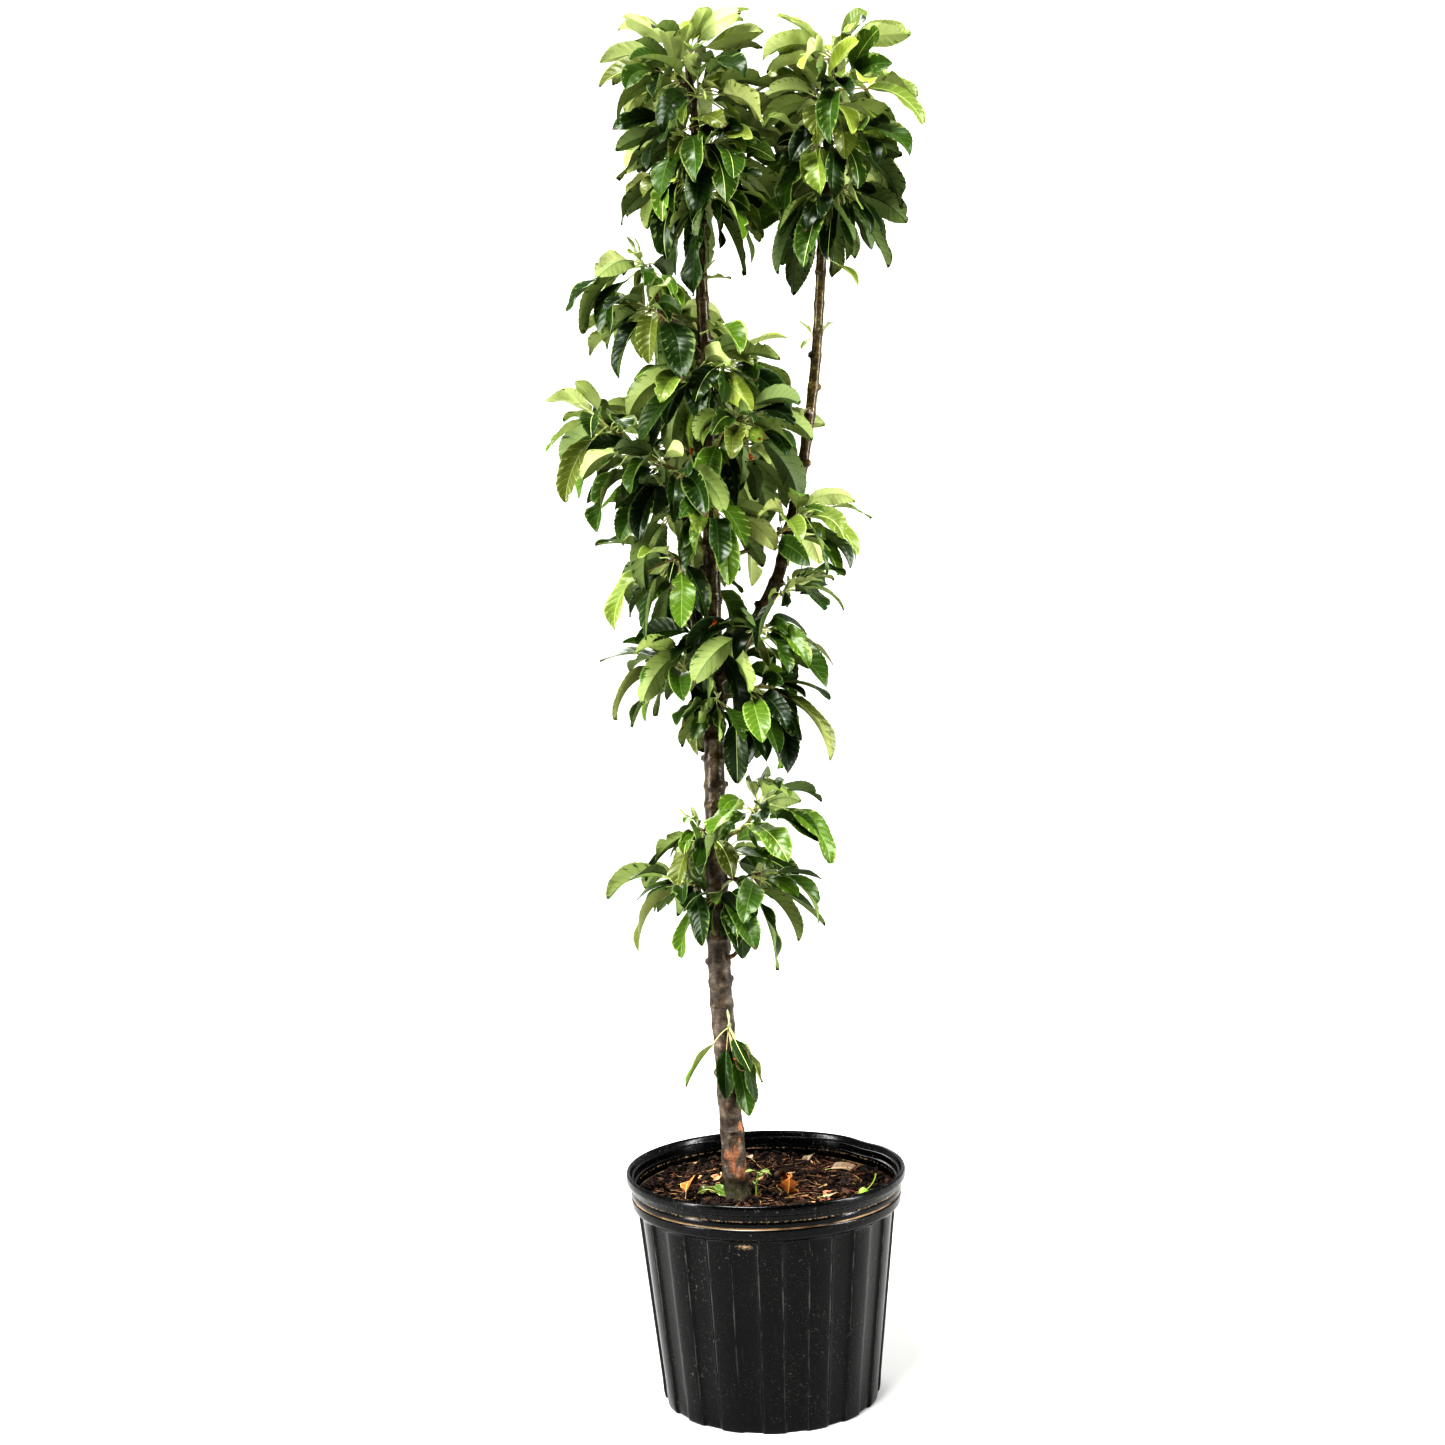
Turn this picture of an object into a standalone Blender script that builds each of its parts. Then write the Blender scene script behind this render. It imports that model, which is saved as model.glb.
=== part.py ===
"""A young columnar apple tree in a fluted nursery pot, in metres with +Z up.

The pot stands on z = 0 with its axis on the Z axis, and is seen from -Y in the photograph.
Trunk and boughs are tapering tubes along smooth curves. Every mass of leaves is one spur: a stem
that leaves its bough, forks, and carries leaves which arch over and hang.
"""

import math
import random
from collections import namedtuple

import bmesh
import bpy
from mathutils import Vector
from mathutils.bvhtree import BVHTree
from mathutils.geometry import interpolate_bezier

CLEARANCE = 0.0003

# Pot: a number 5 nursery pot, blow moulded with raised and sunken lands round its wall
POT_HEIGHT = 0.2545
RIM_RADIUS = 0.1545
WALL_TOP_RADIUS = 0.1428
WALL_TOP = 0.2115
BASE_RADIUS = 0.1195
FLUTES = 16
RAISED_DEGREES = 10.8
SUNKEN_DEGREES = 9.2
FLUTE_DEPTH = 0.0028
WALL = 0.0018
FLOOR = 0.0030
GROOVE = 0.2285

# Potting mix: its level and its gentle unevenness
SOIL_LEVEL = 0.2300
SOIL_SWELL = 0.0022
SOIL_RINGS = (0.105, 0.060)

# Trunk foot: where it leaves the mix, and how far round it the mix lies level
FOOT = Vector((-0.032, -0.032, SOIL_LEVEL + CLEARANCE))
LEVEL_RADIUS = 0.024
LEVEL_BLEND = 0.030

# Leaves: an apple leaf's blade from a short one to a long one, its width and its stalk as shares
# of its length, and how much shorter it is at the top of a spur than at the foot
BLADE_LENGTH = (0.056, 0.078)
BLADE_WIDTH_SHARE = (0.39, 0.46)
STALK_SHARE = (0.32, 0.48)
SPUR_FOOT_SIZE, SPUR_TOP_SIZE = 1.06, 0.84
STALK_RADIUS = 0.0008

# Blade stations: how far along the blade each lies, and its share of the full width. A blade
# that bends down by more than ARCHED_FALL degrees has two
ARCHED_STATIONS = ((0.30, 0.94), (0.70, 0.86))
FLAT_STATIONS = ((0.44, 1.00),)
ARCHED_FALL = 44
KEEL_SHARE = 0.022
BLADE_STEPS = 12

# How much leaves of one spur differ, in degrees and as shares
ROLL_SPREAD = 42
SWERVE = 30
LIFT_SPREAD = 14
FALL_SHARE = (0.6, 1.4)
FAN_SPREAD = 0.06
GOLDEN = (math.sqrt(5) - 1) / 2

# Spur stems and the twigs that fork from them; a long stem is stouter
STEM_RADIUS = 0.0021
LONG_STEM = 0.045
LONG_STEM_GIRTH = 1.3
STEM_TIP_RADIUS = 0.0013
STEM_POINTS = 5
STEM_SIDES = 4
TWIG_SIDES = 3
STEM_BEND = 1.5
STEM_WANDER = 6
TWIG_SHARE = 0.62
TWIG_RISE_SHARE = 0.8
TWIG_SPLAY = 48
TWIG_SPLAY_SHARE = (0.8, 1.2)
LEAF_ZONE = (0.30, 0.94)

# Growing room: how much larger a new leaf is taken to be when it looks for a free place
ROOM = 0.0005
TRIES = 14
FREE_STALK = 0.45

# A young fruit, hanging forward and down from its twig's tip
FRUITING = "centre_fruit"
FRUIT_RADIUS = 0.0088
FRUIT_STALK = 0.016
FRUIT_WAY = Vector((0.35, -0.55, -0.75)).normalized()

Limb = namedtuple("Limb", "name host knots widths rings sides colour")
Habit = namedtuple("Habit", "lift_low lift_high fall size colour")
Spur = namedtuple("Spur", "name host height azimuth stem rise leaves fan twigs habit seed")
Leaf = namedtuple("Leaf", "root azimuth lift stalk length width fall roll swerve")

# A limb's widths are (height, diameter); its knots are the points it passes through
TRUNK = Limb(
    "trunk", None,
    (FOOT, (-0.0385, -0.031, 0.360), (-0.0440, -0.030, 0.500), (-0.0425, -0.029, 0.680),
     (-0.0385, -0.027, 0.900), (-0.0375, -0.026, 1.080), (-0.0405, -0.024, 1.270),
     (-0.0415, -0.022, 1.390), (-0.0475, -0.021, 1.450)),
    ((0.230, 0.0325), (0.240, 0.0280), (0.300, 0.0248), (0.500, 0.0240), (0.680, 0.0215),
     (0.900, 0.0185), (1.040, 0.0156), (1.200, 0.0128), (1.280, 0.0120), (1.360, 0.0088),
     (1.450, 0.0052)),
    17, 11, "bark")

BOUGHS = (
    Limb("right_bough", "trunk",
         ((-0.040, -0.027, 0.790), (-0.010, -0.028, 0.828), (0.030, -0.028, 0.898),
          (0.043, -0.027, 0.944), (0.061, -0.026, 1.013), (0.079, -0.024, 1.125),
          (0.0895, -0.022, 1.244), (0.0985, -0.021, 1.345), (0.1075, -0.020, 1.446)),
         ((0.790, 0.0155), (0.900, 0.0134), (0.960, 0.0115), (1.130, 0.0108), (1.250, 0.0104),
          (1.330, 0.0084), (1.446, 0.0050)),
         16, 8, "young_bark"),
    Limb("left_shoot", "trunk",
         ((-0.042, -0.030, 0.800), (-0.056, -0.046, 0.836), (-0.0635, -0.050, 0.895),
          (-0.0650, -0.050, 0.968)),
         ((0.800, 0.0074), (0.900, 0.0076), (0.968, 0.0054)),
         7, 7, "young_bark"),
    Limb("mid_left_branch", "trunk",
         ((-0.038, -0.026, 1.136), (-0.0565, -0.030, 1.158), (-0.0775, -0.034, 1.182),
          (-0.0885, -0.035, 1.206), (-0.0930, -0.034, 1.228)),
         ((1.136, 0.0080), (1.180, 0.0064), (1.206, 0.0050), (1.228, 0.0040)),
         8, 7, "young_bark"),
)

# How a spur holds its leaves: the lift of its lowest and highest leaves, and how far a blade
# bends down from its foot to its tip, in degrees
HABITS = {
    "crest": Habit(2, 50, 42, 0.96, "young_leaf"),
    "arching": Habit(-12, 44, 62, 1.00, "leaf"),
    "drooping": Habit(-38, 28, 56, 1.00, "leaf"),
    "hanging": Habit(-58, 6, 40, 1.02, "old_leaf"),
    "limp": Habit(-80, -35, 16, 0.86, "old_leaf"),
}

# Azimuths are in degrees round Z from +X; a fan of 180 spreads all round. A spur with no height
# of its own goes on from its limb's tip
SPURS = (
    Spur("leader_crest", "trunk", None, 0, 0.010, 85, 12, 180, 0, "crest", 32),
    Spur("leader_upper_left", "trunk", 1.428, 185, 0.016, 40, 9, 100, 0, "arching", 44),
    Spur("leader_upper_front", "trunk", 1.412, 300, 0.014, 35, 9, 95, 0, "arching", 2),
    Spur("leader_upper_back", "trunk", 1.420, 65, 0.016, 35, 5, 95, 0, "arching", 47),
    Spur("leader_middle_left", "trunk", 1.372, 215, 0.016, 25, 9, 95, 0, "drooping", 53),
    Spur("leader_middle_right", "trunk", 1.360, 345, 0.018, 25, 9, 95, 0, "drooping", 33),
    Spur("leader_middle_back", "trunk", 1.366, 100, 0.018, 25, 7, 90, 0, "drooping", 15),
    Spur("leader_lower_left", "trunk", 1.322, 190, 0.018, 30, 8, 90, 0, "drooping", 54),
    Spur("leader_lower_front", "trunk", 1.308, 310, 0.020, 24, 8, 90, 0, "hanging", 59),
    Spur("leader_lower_back", "trunk", 1.315, 65, 0.020, 20, 6, 90, 0, "hanging", 9),
    Spur("right_crest", "right_bough", None, 0, 0.010, 88, 10, 180, 0, "crest", 44),
    Spur("right_upper_outer", "right_bough", 1.415, 350, 0.015, 35, 8, 100, 0, "arching", 25),
    Spur("right_upper_front", "right_bough", 1.402, 225, 0.014, 35, 9, 95, 0, "arching", 1),
    Spur("right_upper_back", "right_bough", 1.408, 110, 0.015, 35, 5, 95, 0, "arching", 15),
    Spur("right_middle_outer", "right_bough", 1.362, 320, 0.018, 25, 9, 95, 0, "drooping", 2),
    Spur("right_middle_inner", "right_bough", 1.356, 200, 0.018, 25, 9, 90, 0, "drooping", 55),
    Spur("right_middle_back", "right_bough", 1.350, 80, 0.018, 25, 7, 95, 0, "drooping", 44),
    Spur("right_lower_outer", "right_bough", 1.312, 350, 0.018, 15, 7, 90, 0, "hanging", 9),
    Spur("right_lower_front", "right_bough", 1.306, 240, 0.018, 15, 8, 90, 0, "hanging", 48),
    Spur("right_lower_back", "right_bough", 1.300, 120, 0.018, 15, 5, 90, 0, "hanging", 12),
    Spur("mid_left_tip", "mid_left_branch", None, 185, 0.016, 45, 8, 130, 0, "drooping", 37),
    Spur("mid_left_outer", "mid_left_branch", 1.190, 205, 0.018, 10, 9, 95, 0, "drooping", 53),
    Spur("mid_left_back", "mid_left_branch", 1.186, 95, 0.020, 15, 6, 90, 0, "drooping", 50),
    Spur("centre_right_upper", "trunk", 1.128, 335, 0.024, 10, 10, 100, 0, "drooping", 55),
    Spur("centre_front_upper", "trunk", 1.118, 245, 0.022, 15, 9, 95, 0, "drooping", 7),
    Spur("centre_back_upper", "trunk", 1.110, 85, 0.030, 20, 9, 110, 1, "drooping", 59),
    Spur("centre_far_left", "trunk", 1.014, 182, 0.106, 32, 17, 108, 2, "arching", 52),
    Spur("centre_left_front", "trunk", 1.004, 218, 0.056, 30, 14, 110, 1, "drooping", 39),
    Spur("centre_left_back", "trunk", 1.040, 132, 0.064, 32, 15, 115, 2, "drooping", 33),
    Spur("centre_fruit", "trunk", 1.062, 326, 0.046, 15, 11, 105, 1, "drooping", 3),
    Spur("centre_right_back", "trunk", 1.040, 35, 0.036, 25, 9, 110, 1, "drooping", 50),
    Spur("centre_front_lower", "trunk", 0.978, 275, 0.022, 5, 8, 95, 0, "hanging", 57),
    Spur("right_arm", "trunk", 0.926, 352, 0.104, 30, 12, 105, 1, "arching", 42),
    Spur("left_shoot_tip", "left_shoot", None, 200, 0.030, 35, 11, 125, 0, "drooping", 14),
    Spur("left_shoot_side", "left_shoot", 0.925, 215, 0.014, 10, 7, 90, 0, "hanging", 25),
    Spur("back_arm", "trunk", 0.905, 120, 0.052, 25, 10, 120, 2, "drooping", 48),
    Spur("bough_outer", "right_bough", 0.884, 340, 0.014, 35, 5, 90, 0, "arching", 7),
    Spur("bough_front", "right_bough", 0.846, 290, 0.018, 20, 9, 105, 0, "drooping", 18),
    Spur("fork_front", "trunk", 0.836, 250, 0.020, 25, 10, 100, 0, "drooping", 50),
    Spur("fork_left", "trunk", 0.800, 190, 0.030, 25, 10, 105, 1, "arching", 40),
    Spur("fork_back", "trunk", 0.800, 80, 0.034, 25, 9, 115, 1, "drooping", 35),
    Spur("fork_right", "trunk", 0.776, 340, 0.046, 20, 10, 90, 0, "hanging", 47),
    Spur("fork_lower_front", "trunk", 0.775, 275, 0.014, 5, 4, 90, 0, "hanging", 24),
    Spur("lower_right_arm", "trunk", 0.626, 352, 0.056, 52, 11, 120, 1, "arching", 55),
    Spur("lower_right_side", "trunk", 0.578, 340, 0.040, 15, 7, 85, 0, "hanging", 27),
    Spur("lower_left", "trunk", 0.572, 192, 0.034, 15, 7, 90, 0, "drooping", 24),
    Spur("lower_left_upper", "trunk", 0.632, 215, 0.010, 25, 5, 80, 0, "hanging", 7),
    Spur("lower_front", "trunk", 0.566, 275, 0.014, 10, 3, 80, 0, "hanging", 45),
    Spur("lower_back", "trunk", 0.592, 95, 0.034, 25, 8, 110, 1, "drooping", 22),
    Spur("low_twig", "trunk", 0.416, 285, 0.012, 40, 5, 85, 0, "limp", 47),
)

COLOURS = {
    "pot_plastic": ((0.013, 0.013, 0.014), 0.42),
    "potting_mix": ((0.045, 0.026, 0.017), 0.95),
    "bark": ((0.125, 0.095, 0.070), 0.85),
    "young_bark": ((0.145, 0.105, 0.050), 0.60),
    "young_leaf": ((0.240, 0.330, 0.085), 0.50),
    "leaf": ((0.085, 0.150, 0.045), 0.45),
    "old_leaf": ((0.050, 0.105, 0.038), 0.42),
}


def clear_scene():
    for obj in list(bpy.data.objects):
        bpy.data.objects.remove(obj, do_unlink=True)


def material(name):
    """The named surface as a Principled material, made once."""
    found = bpy.data.materials.get(name)
    if found:
        return found
    colour, roughness = COLOURS[name]
    made = bpy.data.materials.new(name)
    made.use_nodes = True
    shader = made.node_tree.nodes["Principled BSDF"]
    shader.inputs["Base Color"].default_value = (*colour, 1)
    shader.inputs["Roughness"].default_value = roughness
    shader.inputs["Metallic"].default_value = 0
    return made


def loft(rings):
    """Points and faces of a closed skin over rings of points; a ring of one point is a tip."""
    points, faces, starts = [], [], []
    for ring in rings:
        starts.append(len(points))
        points.extend(ring)
    for (low, ring), (high, following) in zip(zip(starts, rings), zip(starts[1:], rings[1:])):
        count = len(ring)
        for i in range(count):
            j = (i + 1) % count
            if len(following) == 1:
                faces.append((low + i, low + j, high))
            else:
                faces.append((low + i, low + j, high + j, high + i))
    faces.append(tuple(reversed(range(len(rings[0])))))
    if len(rings[-1]) > 1:
        faces.append(tuple(range(starts[-1], len(points))))
    return points, faces


def add_object(name, points, faces, surface, collection=None):
    mesh = bpy.data.meshes.new(name)
    mesh.from_pydata(points, [], faces)
    mesh.update()
    mesh.materials.append(material(surface))
    obj = bpy.data.objects.new(name, mesh)
    (collection or bpy.context.scene.collection).objects.link(obj)
    return obj


def smooth(obj, degrees=40):
    obj.data.shade_smooth()
    obj.data.set_sharp_from_angle(angle=math.radians(degrees))


def interpolate(pairs, at):
    """The value at a place, straight between (place, value) pairs in rising order."""
    for (low, first), (high, second) in zip(pairs, pairs[1:]):
        if at <= high:
            share = max(0.0, (at - low) / (high - low))
            return first + (second - first) * share
    return pairs[-1][1]


def heading(azimuth, lift):
    """The unit vector at an azimuth and an elevation, in degrees."""
    turn, rise = math.radians(azimuth), math.radians(lift)
    return Vector((math.cos(rise) * math.cos(turn), math.cos(rise) * math.sin(turn), math.sin(rise)))


def route_through(knots, count):
    """Evenly spaced points along a smooth curve through the knots."""
    knots = [Vector(knot) for knot in knots]
    ends = [2 * knots[0] - knots[1], *knots, 2 * knots[-1] - knots[-2]]
    fine = [knots[0]]
    for before, first, second, after in zip(ends, ends[1:], ends[2:], ends[3:]):
        leave, arrive = first + (second - before) / 6, second - (after - first) / 6
        fine += interpolate_bezier(first, leave, arrive, second, 12)[1:]
    walked = [0.0]
    for first, second in zip(fine, fine[1:]):
        walked.append(walked[-1] + (second - first).length)
    places = list(zip(walked, fine))
    return [interpolate(places, walked[-1] * i / (count - 1)) for i in range(count)]


def tangents(points):
    ahead, behind = points[1:] + points[-1:], points[:1] + points[:-1]
    return [(after - before).normalized() for before, after in zip(behind, ahead)]


def tube_rings(points, radii, sides, first_way=None):
    """Round rings along points, each square to the curve; the first may face its own way."""
    ways = tangents(points)
    if first_way:
        ways[0] = first_way
    across = ways[0].orthogonal().normalized()
    rings = []
    for point, way, radius in zip(points, ways, radii):
        across = (across - way * across.dot(way)).normalized()
        upward = way.cross(across)
        rings.append([
            point + radius * (across * math.cos(turn) + upward * math.sin(turn))
            for turn in (math.tau * i / sides for i in range(sides))
        ])
    return rings


def flute_ring(radius, z, depth_share):
    """A ring round the pot, with its sunken lands that far in."""
    period = 360 / FLUTES
    half = RAISED_DEGREES / 2
    slope = (period - RAISED_DEGREES - SUNKEN_DEGREES) / 2
    corners = ((-half, 0), (half, 0), (half + slope, 1), (half + slope + SUNKEN_DEGREES, 1))
    ring = []
    for flute in range(FLUTES):
        for offset, sunken in corners:
            turn = math.radians(flute * period + offset)
            reach = radius - FLUTE_DEPTH * depth_share * sunken
            ring.append(Vector((reach * math.cos(turn), reach * math.sin(turn), z)))
    return ring


def wall_radius(z):
    return BASE_RADIUS + (WALL_TOP_RADIUS - BASE_RADIUS) * z / WALL_TOP


def make_pot():
    """The pot: a fluted wall under a grooved band and a rolled rim, and a plain inside."""
    band = RIM_RADIUS - 0.0050
    inside = band - WALL
    outer = (
        (BASE_RADIUS - 0.0030, 0.0, 1),
        (BASE_RADIUS, 0.0040, 1),
        (WALL_TOP_RADIUS, WALL_TOP, 1),
        (WALL_TOP_RADIUS + 0.0020, WALL_TOP + 0.0035, 0),
        (band - 0.0008, WALL_TOP + 0.0070, 0),
        (band - 0.0002, GROOVE - 0.0015, 0),
        (band - 0.0022, GROOVE, 0),
        (band - 0.0002, GROOVE + 0.0015, 0),
        (band + 0.0004, POT_HEIGHT - 0.0125, 0),
        (RIM_RADIUS, POT_HEIGHT - 0.0100, 0),
        (RIM_RADIUS - 0.0003, POT_HEIGHT - 0.0010, 0),
        (RIM_RADIUS - 0.0022, POT_HEIGHT, 0),
    )
    inner = (
        (inside - 0.0004, POT_HEIGHT - 0.0105, 0),
        (inside - 0.0034, SOIL_LEVEL + 0.0018, 0),
        (WALL_TOP_RADIUS - WALL, WALL_TOP, 1),
        (wall_radius(FLOOR) - WALL, FLOOR, 1),
    )
    points, faces = loft([flute_ring(*row) for row in outer + inner])
    smooth(add_object("pot", points, faces, "pot_plastic"), 25)


def soil_height(x, y):
    """The mix's surface: uneven, but level round the trunk's foot."""
    waves = math.sin(31 * x + 11 * y + 0.6) + 0.7 * math.sin(43 * y - 17 * x + 2.1)
    away = math.hypot(x - FOOT.x, y - FOOT.y) - LEVEL_RADIUS
    share = min(1.0, max(0.0, away / LEVEL_BLEND))
    return SOIL_LEVEL + SOIL_SWELL * 0.5 * waves * share * share * (3 - 2 * share)


def make_soil():
    """The potting mix: it fills the pot's inside to just under the rim."""
    edge = WALL_TOP_RADIUS - WALL - CLEARANCE
    rings = [
        flute_ring(wall_radius(FLOOR) - WALL - CLEARANCE, FLOOR + CLEARANCE, 1),
        flute_ring(edge, WALL_TOP - CLEARANCE, 1),
    ]
    for radius in (edge, *SOIL_RINGS):
        ring = flute_ring(radius, 0, 0)
        rings.append([Vector((p.x, p.y, soil_height(p.x, p.y))) for p in ring])
    points, faces = loft(rings)
    smooth(add_object("potting_mix", points, faces, "potting_mix"))


def limb_rings(limb, extra=0.0):
    points = route_through(limb.knots, limb.rings)
    radii = [interpolate(limb.widths, point.z) / 2 + extra for point in points]
    return tube_rings(points, radii, limb.sides)


def keep_main_body(obj):
    """Leaves only the largest shell of a mesh, so scraps and sealed hollows go."""
    work = bmesh.new()
    work.from_mesh(obj.data)
    bmesh.ops.remove_doubles(work, verts=work.verts, dist=1e-7)
    unseen, shells = set(work.verts), []
    while unseen:
        shell, edge = set(), [next(iter(unseen))]
        while edge:
            vert = edge.pop()
            if vert in shell:
                continue
            shell.add(vert)
            edge += [link.other_vert(vert) for link in vert.link_edges]
        unseen -= shell
        shells.append(shell)
    shells.sort(key=len)
    bmesh.ops.delete(work, geom=[v for shell in shells[:-1] for v in shell], context="VERTS")
    bmesh.ops.triangulate(work, faces=work.faces)
    work.to_mesh(obj.data)
    work.free()


def apply_boolean(obj, operation, solver="EXACT", other=None, collection=None):
    """Runs one Boolean on the object and keeps its result as the object's own mesh."""
    change = obj.modifiers.new("change", "BOOLEAN")
    change.operation = operation
    change.solver = solver
    if collection:
        change.operand_type = "COLLECTION"
        change.collection = collection
    else:
        change.object = other
    graph = bpy.context.evaluated_depsgraph_get()
    result = bpy.data.meshes.new_from_object(obj.evaluated_get(graph), depsgraph=graph)
    obj.modifiers.clear()
    before, obj.data = obj.data, result
    bpy.data.meshes.remove(before)
    keep_main_body(obj)


def is_closed(obj):
    work = bmesh.new()
    work.from_mesh(obj.data)
    closed = bool(work.edges) and all(edge.is_manifold for edge in work.edges)
    work.free()
    return closed


def make_limbs():
    """The trunk with its flat foot, then each bough cut clear of what it grows from."""
    rings = limb_rings(TRUNK)
    for point in rings[0]:
        point.z = FOOT.z
    made = {"trunk": add_object("trunk", *loft(rings), TRUNK.colour)}
    for limb in BOUGHS:
        bough = add_object(limb.name, *loft(limb_rings(limb)), limb.colour)
        cutter = add_object("cutter", *loft(limb_rings(TRUNK, CLEARANCE)), TRUNK.colour)
        apply_boolean(bough, "DIFFERENCE", other=cutter)
        bpy.data.objects.remove(cutter, do_unlink=True)
        made[limb.name] = bough
    for obj in made.values():
        smooth(obj)
    return made


def tree_of(points, faces):
    return BVHTree.FromPolygons(points, faces)


def blade_spine(leaf, shares):
    """(point, way, side, upper) of the leaf's midrib at shares of the blade's length."""
    point = leaf.root + heading(leaf.azimuth, leaf.lift) * leaf.stalk
    step = leaf.length / BLADE_STEPS
    walked, found = 0.0, []
    for share in shares:
        while walked < share * BLADE_STEPS - 1e-6:
            part = min(1.0, share * BLADE_STEPS - walked)
            middle = (walked + part / 2) / BLADE_STEPS
            point = point + blade_way(leaf, middle) * step * part
            walked += part
        way = blade_way(leaf, share)
        side, upper = leaf_frame(leaf, way, share)
        found.append((point, way, side, upper))
    return found


def blade_way(leaf, share):
    return heading(leaf.azimuth + leaf.swerve * share, leaf.lift - leaf.fall * share)


def leaf_frame(leaf, way, share):
    """The leaf's sideways and upward directions, turned by its roll."""
    turn = math.radians(leaf.azimuth + leaf.swerve * share)
    level = Vector((-math.sin(turn), math.cos(turn), 0))
    above = way.cross(level)
    roll = math.radians(leaf.roll)
    side = level * math.cos(roll) + above * math.sin(roll)
    return side, above * math.cos(roll) - level * math.sin(roll)


def leaf_rings(leaf, swell=0.0, start=0.0):
    """Three-cornered rings from the stalk's root, or part of the way along it, to the tip."""
    out = heading(leaf.azimuth, leaf.lift)
    side, upper = leaf_frame(leaf, out, 0)
    keel = leaf.length * KEEL_SHARE
    rings = []
    for share in (start, 1.0):
        rings.append(keeled_ring(leaf.root + out * leaf.stalk * share, side, upper,
                                 STALK_RADIUS + swell, STALK_RADIUS * 1.6, swell))
    stations = ARCHED_STATIONS if leaf.fall > ARCHED_FALL else FLAT_STATIONS
    spine = blade_spine(leaf, (*(share for share, _ in stations), 1.0 + swell / leaf.length))
    for (point, _, side, upper), (_, spread) in zip(spine, stations):
        rings.append(keeled_ring(point, side, upper, leaf.width / 2 * spread + swell, keel, swell))
    rings.append([spine[-1][0]])
    return rings


def keeled_ring(point, side, upper, half_width, depth, swell):
    top = point + upper * (swell + depth / 3)
    return [top + side * half_width, top - side * half_width, point - upper * (depth * 2 / 3 + swell)]


class Crown:
    """What has been grown so far, for finding where a new leaf is free."""

    def __init__(self, limbs):
        self.limbs = list(limbs.values())
        self.taken = []

    def add(self, owner, points, faces):
        middle = sum(points, Vector()) / len(points)
        reach = max((point - middle).length for point in points)
        self.taken.append((owner, middle, reach, tree_of(points, faces)))

    def is_free(self, rings, owner=None):
        """True where a skin over the rings crosses nothing but the owner's own growth."""
        points, faces = loft(rings)
        tree = tree_of(points, faces)
        if any(tree.overlap(limb) for limb in self.limbs):
            return False
        middle = sum(points, Vector()) / len(points)
        reach = max((point - middle).length for point in points)
        for grower, centre, radius, other in self.taken:
            if grower == owner or (centre - middle).length > reach + radius:
                continue
            if tree.overlap(other):
                return False
        return True


def spur_foot(spur, limb, tree):
    """Where a spur leaves its limb, just clear of the bark, and the way it sets out."""
    route = route_through(limb.knots, limb.rings)
    if spur.height is None:
        way = tangents(route)[-1]
        return route[-1] + way * CLEARANCE, way
    centre = interpolate([(point.z, point) for point in route], spur.height)
    out = heading(spur.azimuth, 0)
    outside = centre + out * limb.widths[0][1] * 2
    hit, normal, _, _ = tree.ray_cast(outside, -out)
    return hit + normal * CLEARANCE, normal


def stem_routes(spur, foot, way, rng):
    """Points of the spur's stem and of the side twigs that fork from it."""
    def grown(start, length, azimuth, rise, first_way):
        points, step = [start], length / (STEM_POINTS - 1)
        for i in range(1, STEM_POINTS):
            share = min(1.0, STEM_BEND * i / (STEM_POINTS - 1))
            aim = heading(azimuth, rise)
            points.append(points[-1] + first_way.lerp(aim, share).normalized() * step)
        return points

    azimuth = spur.azimuth + rng.uniform(-STEM_WANDER, STEM_WANDER)
    stem = grown(foot, spur.stem, azimuth, spur.rise, way)
    routes = [stem]
    for twig in range(spur.twigs):
        splay = TWIG_SPLAY * (1 if twig % 2 else -1) * rng.uniform(*TWIG_SPLAY_SHARE)
        azimuth = spur.azimuth + splay
        rise = spur.rise * TWIG_RISE_SHARE
        start = stem[2 + twig]
        routes.append(grown(start, spur.stem * TWIG_SHARE, azimuth, rise, heading(azimuth, rise)))
    return routes


def stem_radii(spur, limb, is_twig):
    base = STEM_RADIUS
    if spur.height is None:
        base = limb.widths[-1][1] / 2
    elif spur.stem > LONG_STEM:
        base = STEM_RADIUS * LONG_STEM_GIRTH
    tip = STEM_TIP_RADIUS
    if is_twig:
        base = tip = STEM_TIP_RADIUS
    return [base + (tip - base) * i / (STEM_POINTS - 1) for i in range(STEM_POINTS)]


def sprout(spur, routes, index, rng):
    """One leaf of a spur, the index saying how far up and which way round."""
    habit = HABITS[spur.habit]
    route = routes[index % len(routes)]
    along = (index + 0.5) / spur.leaves
    low, high = LEAF_ZONE
    place = low + (high - low) * (along * 0.85 + 0.15 * rng.random())
    around = (index * GOLDEN + rng.uniform(-FAN_SPREAD, FAN_SPREAD)) % 1 * 2 - 1
    lift = habit.lift_low + (habit.lift_high - habit.lift_low) * along
    lift += rng.uniform(-LIFT_SPREAD, LIFT_SPREAD)
    size = SPUR_FOOT_SIZE + (SPUR_TOP_SIZE - SPUR_FOOT_SIZE) * along
    length = rng.uniform(*BLADE_LENGTH) * habit.size * size
    return Leaf(
        interpolate([(i / (STEM_POINTS - 1), point) for i, point in enumerate(route)], place),
        spur.azimuth + spur.fan * around, lift, length * rng.uniform(*STALK_SHARE), length,
        length * rng.uniform(*BLADE_WIDTH_SHARE), habit.fall * rng.uniform(*FALL_SHARE),
        rng.gauss(0, ROLL_SPREAD), rng.uniform(-SWERVE, SWERVE))


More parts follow.
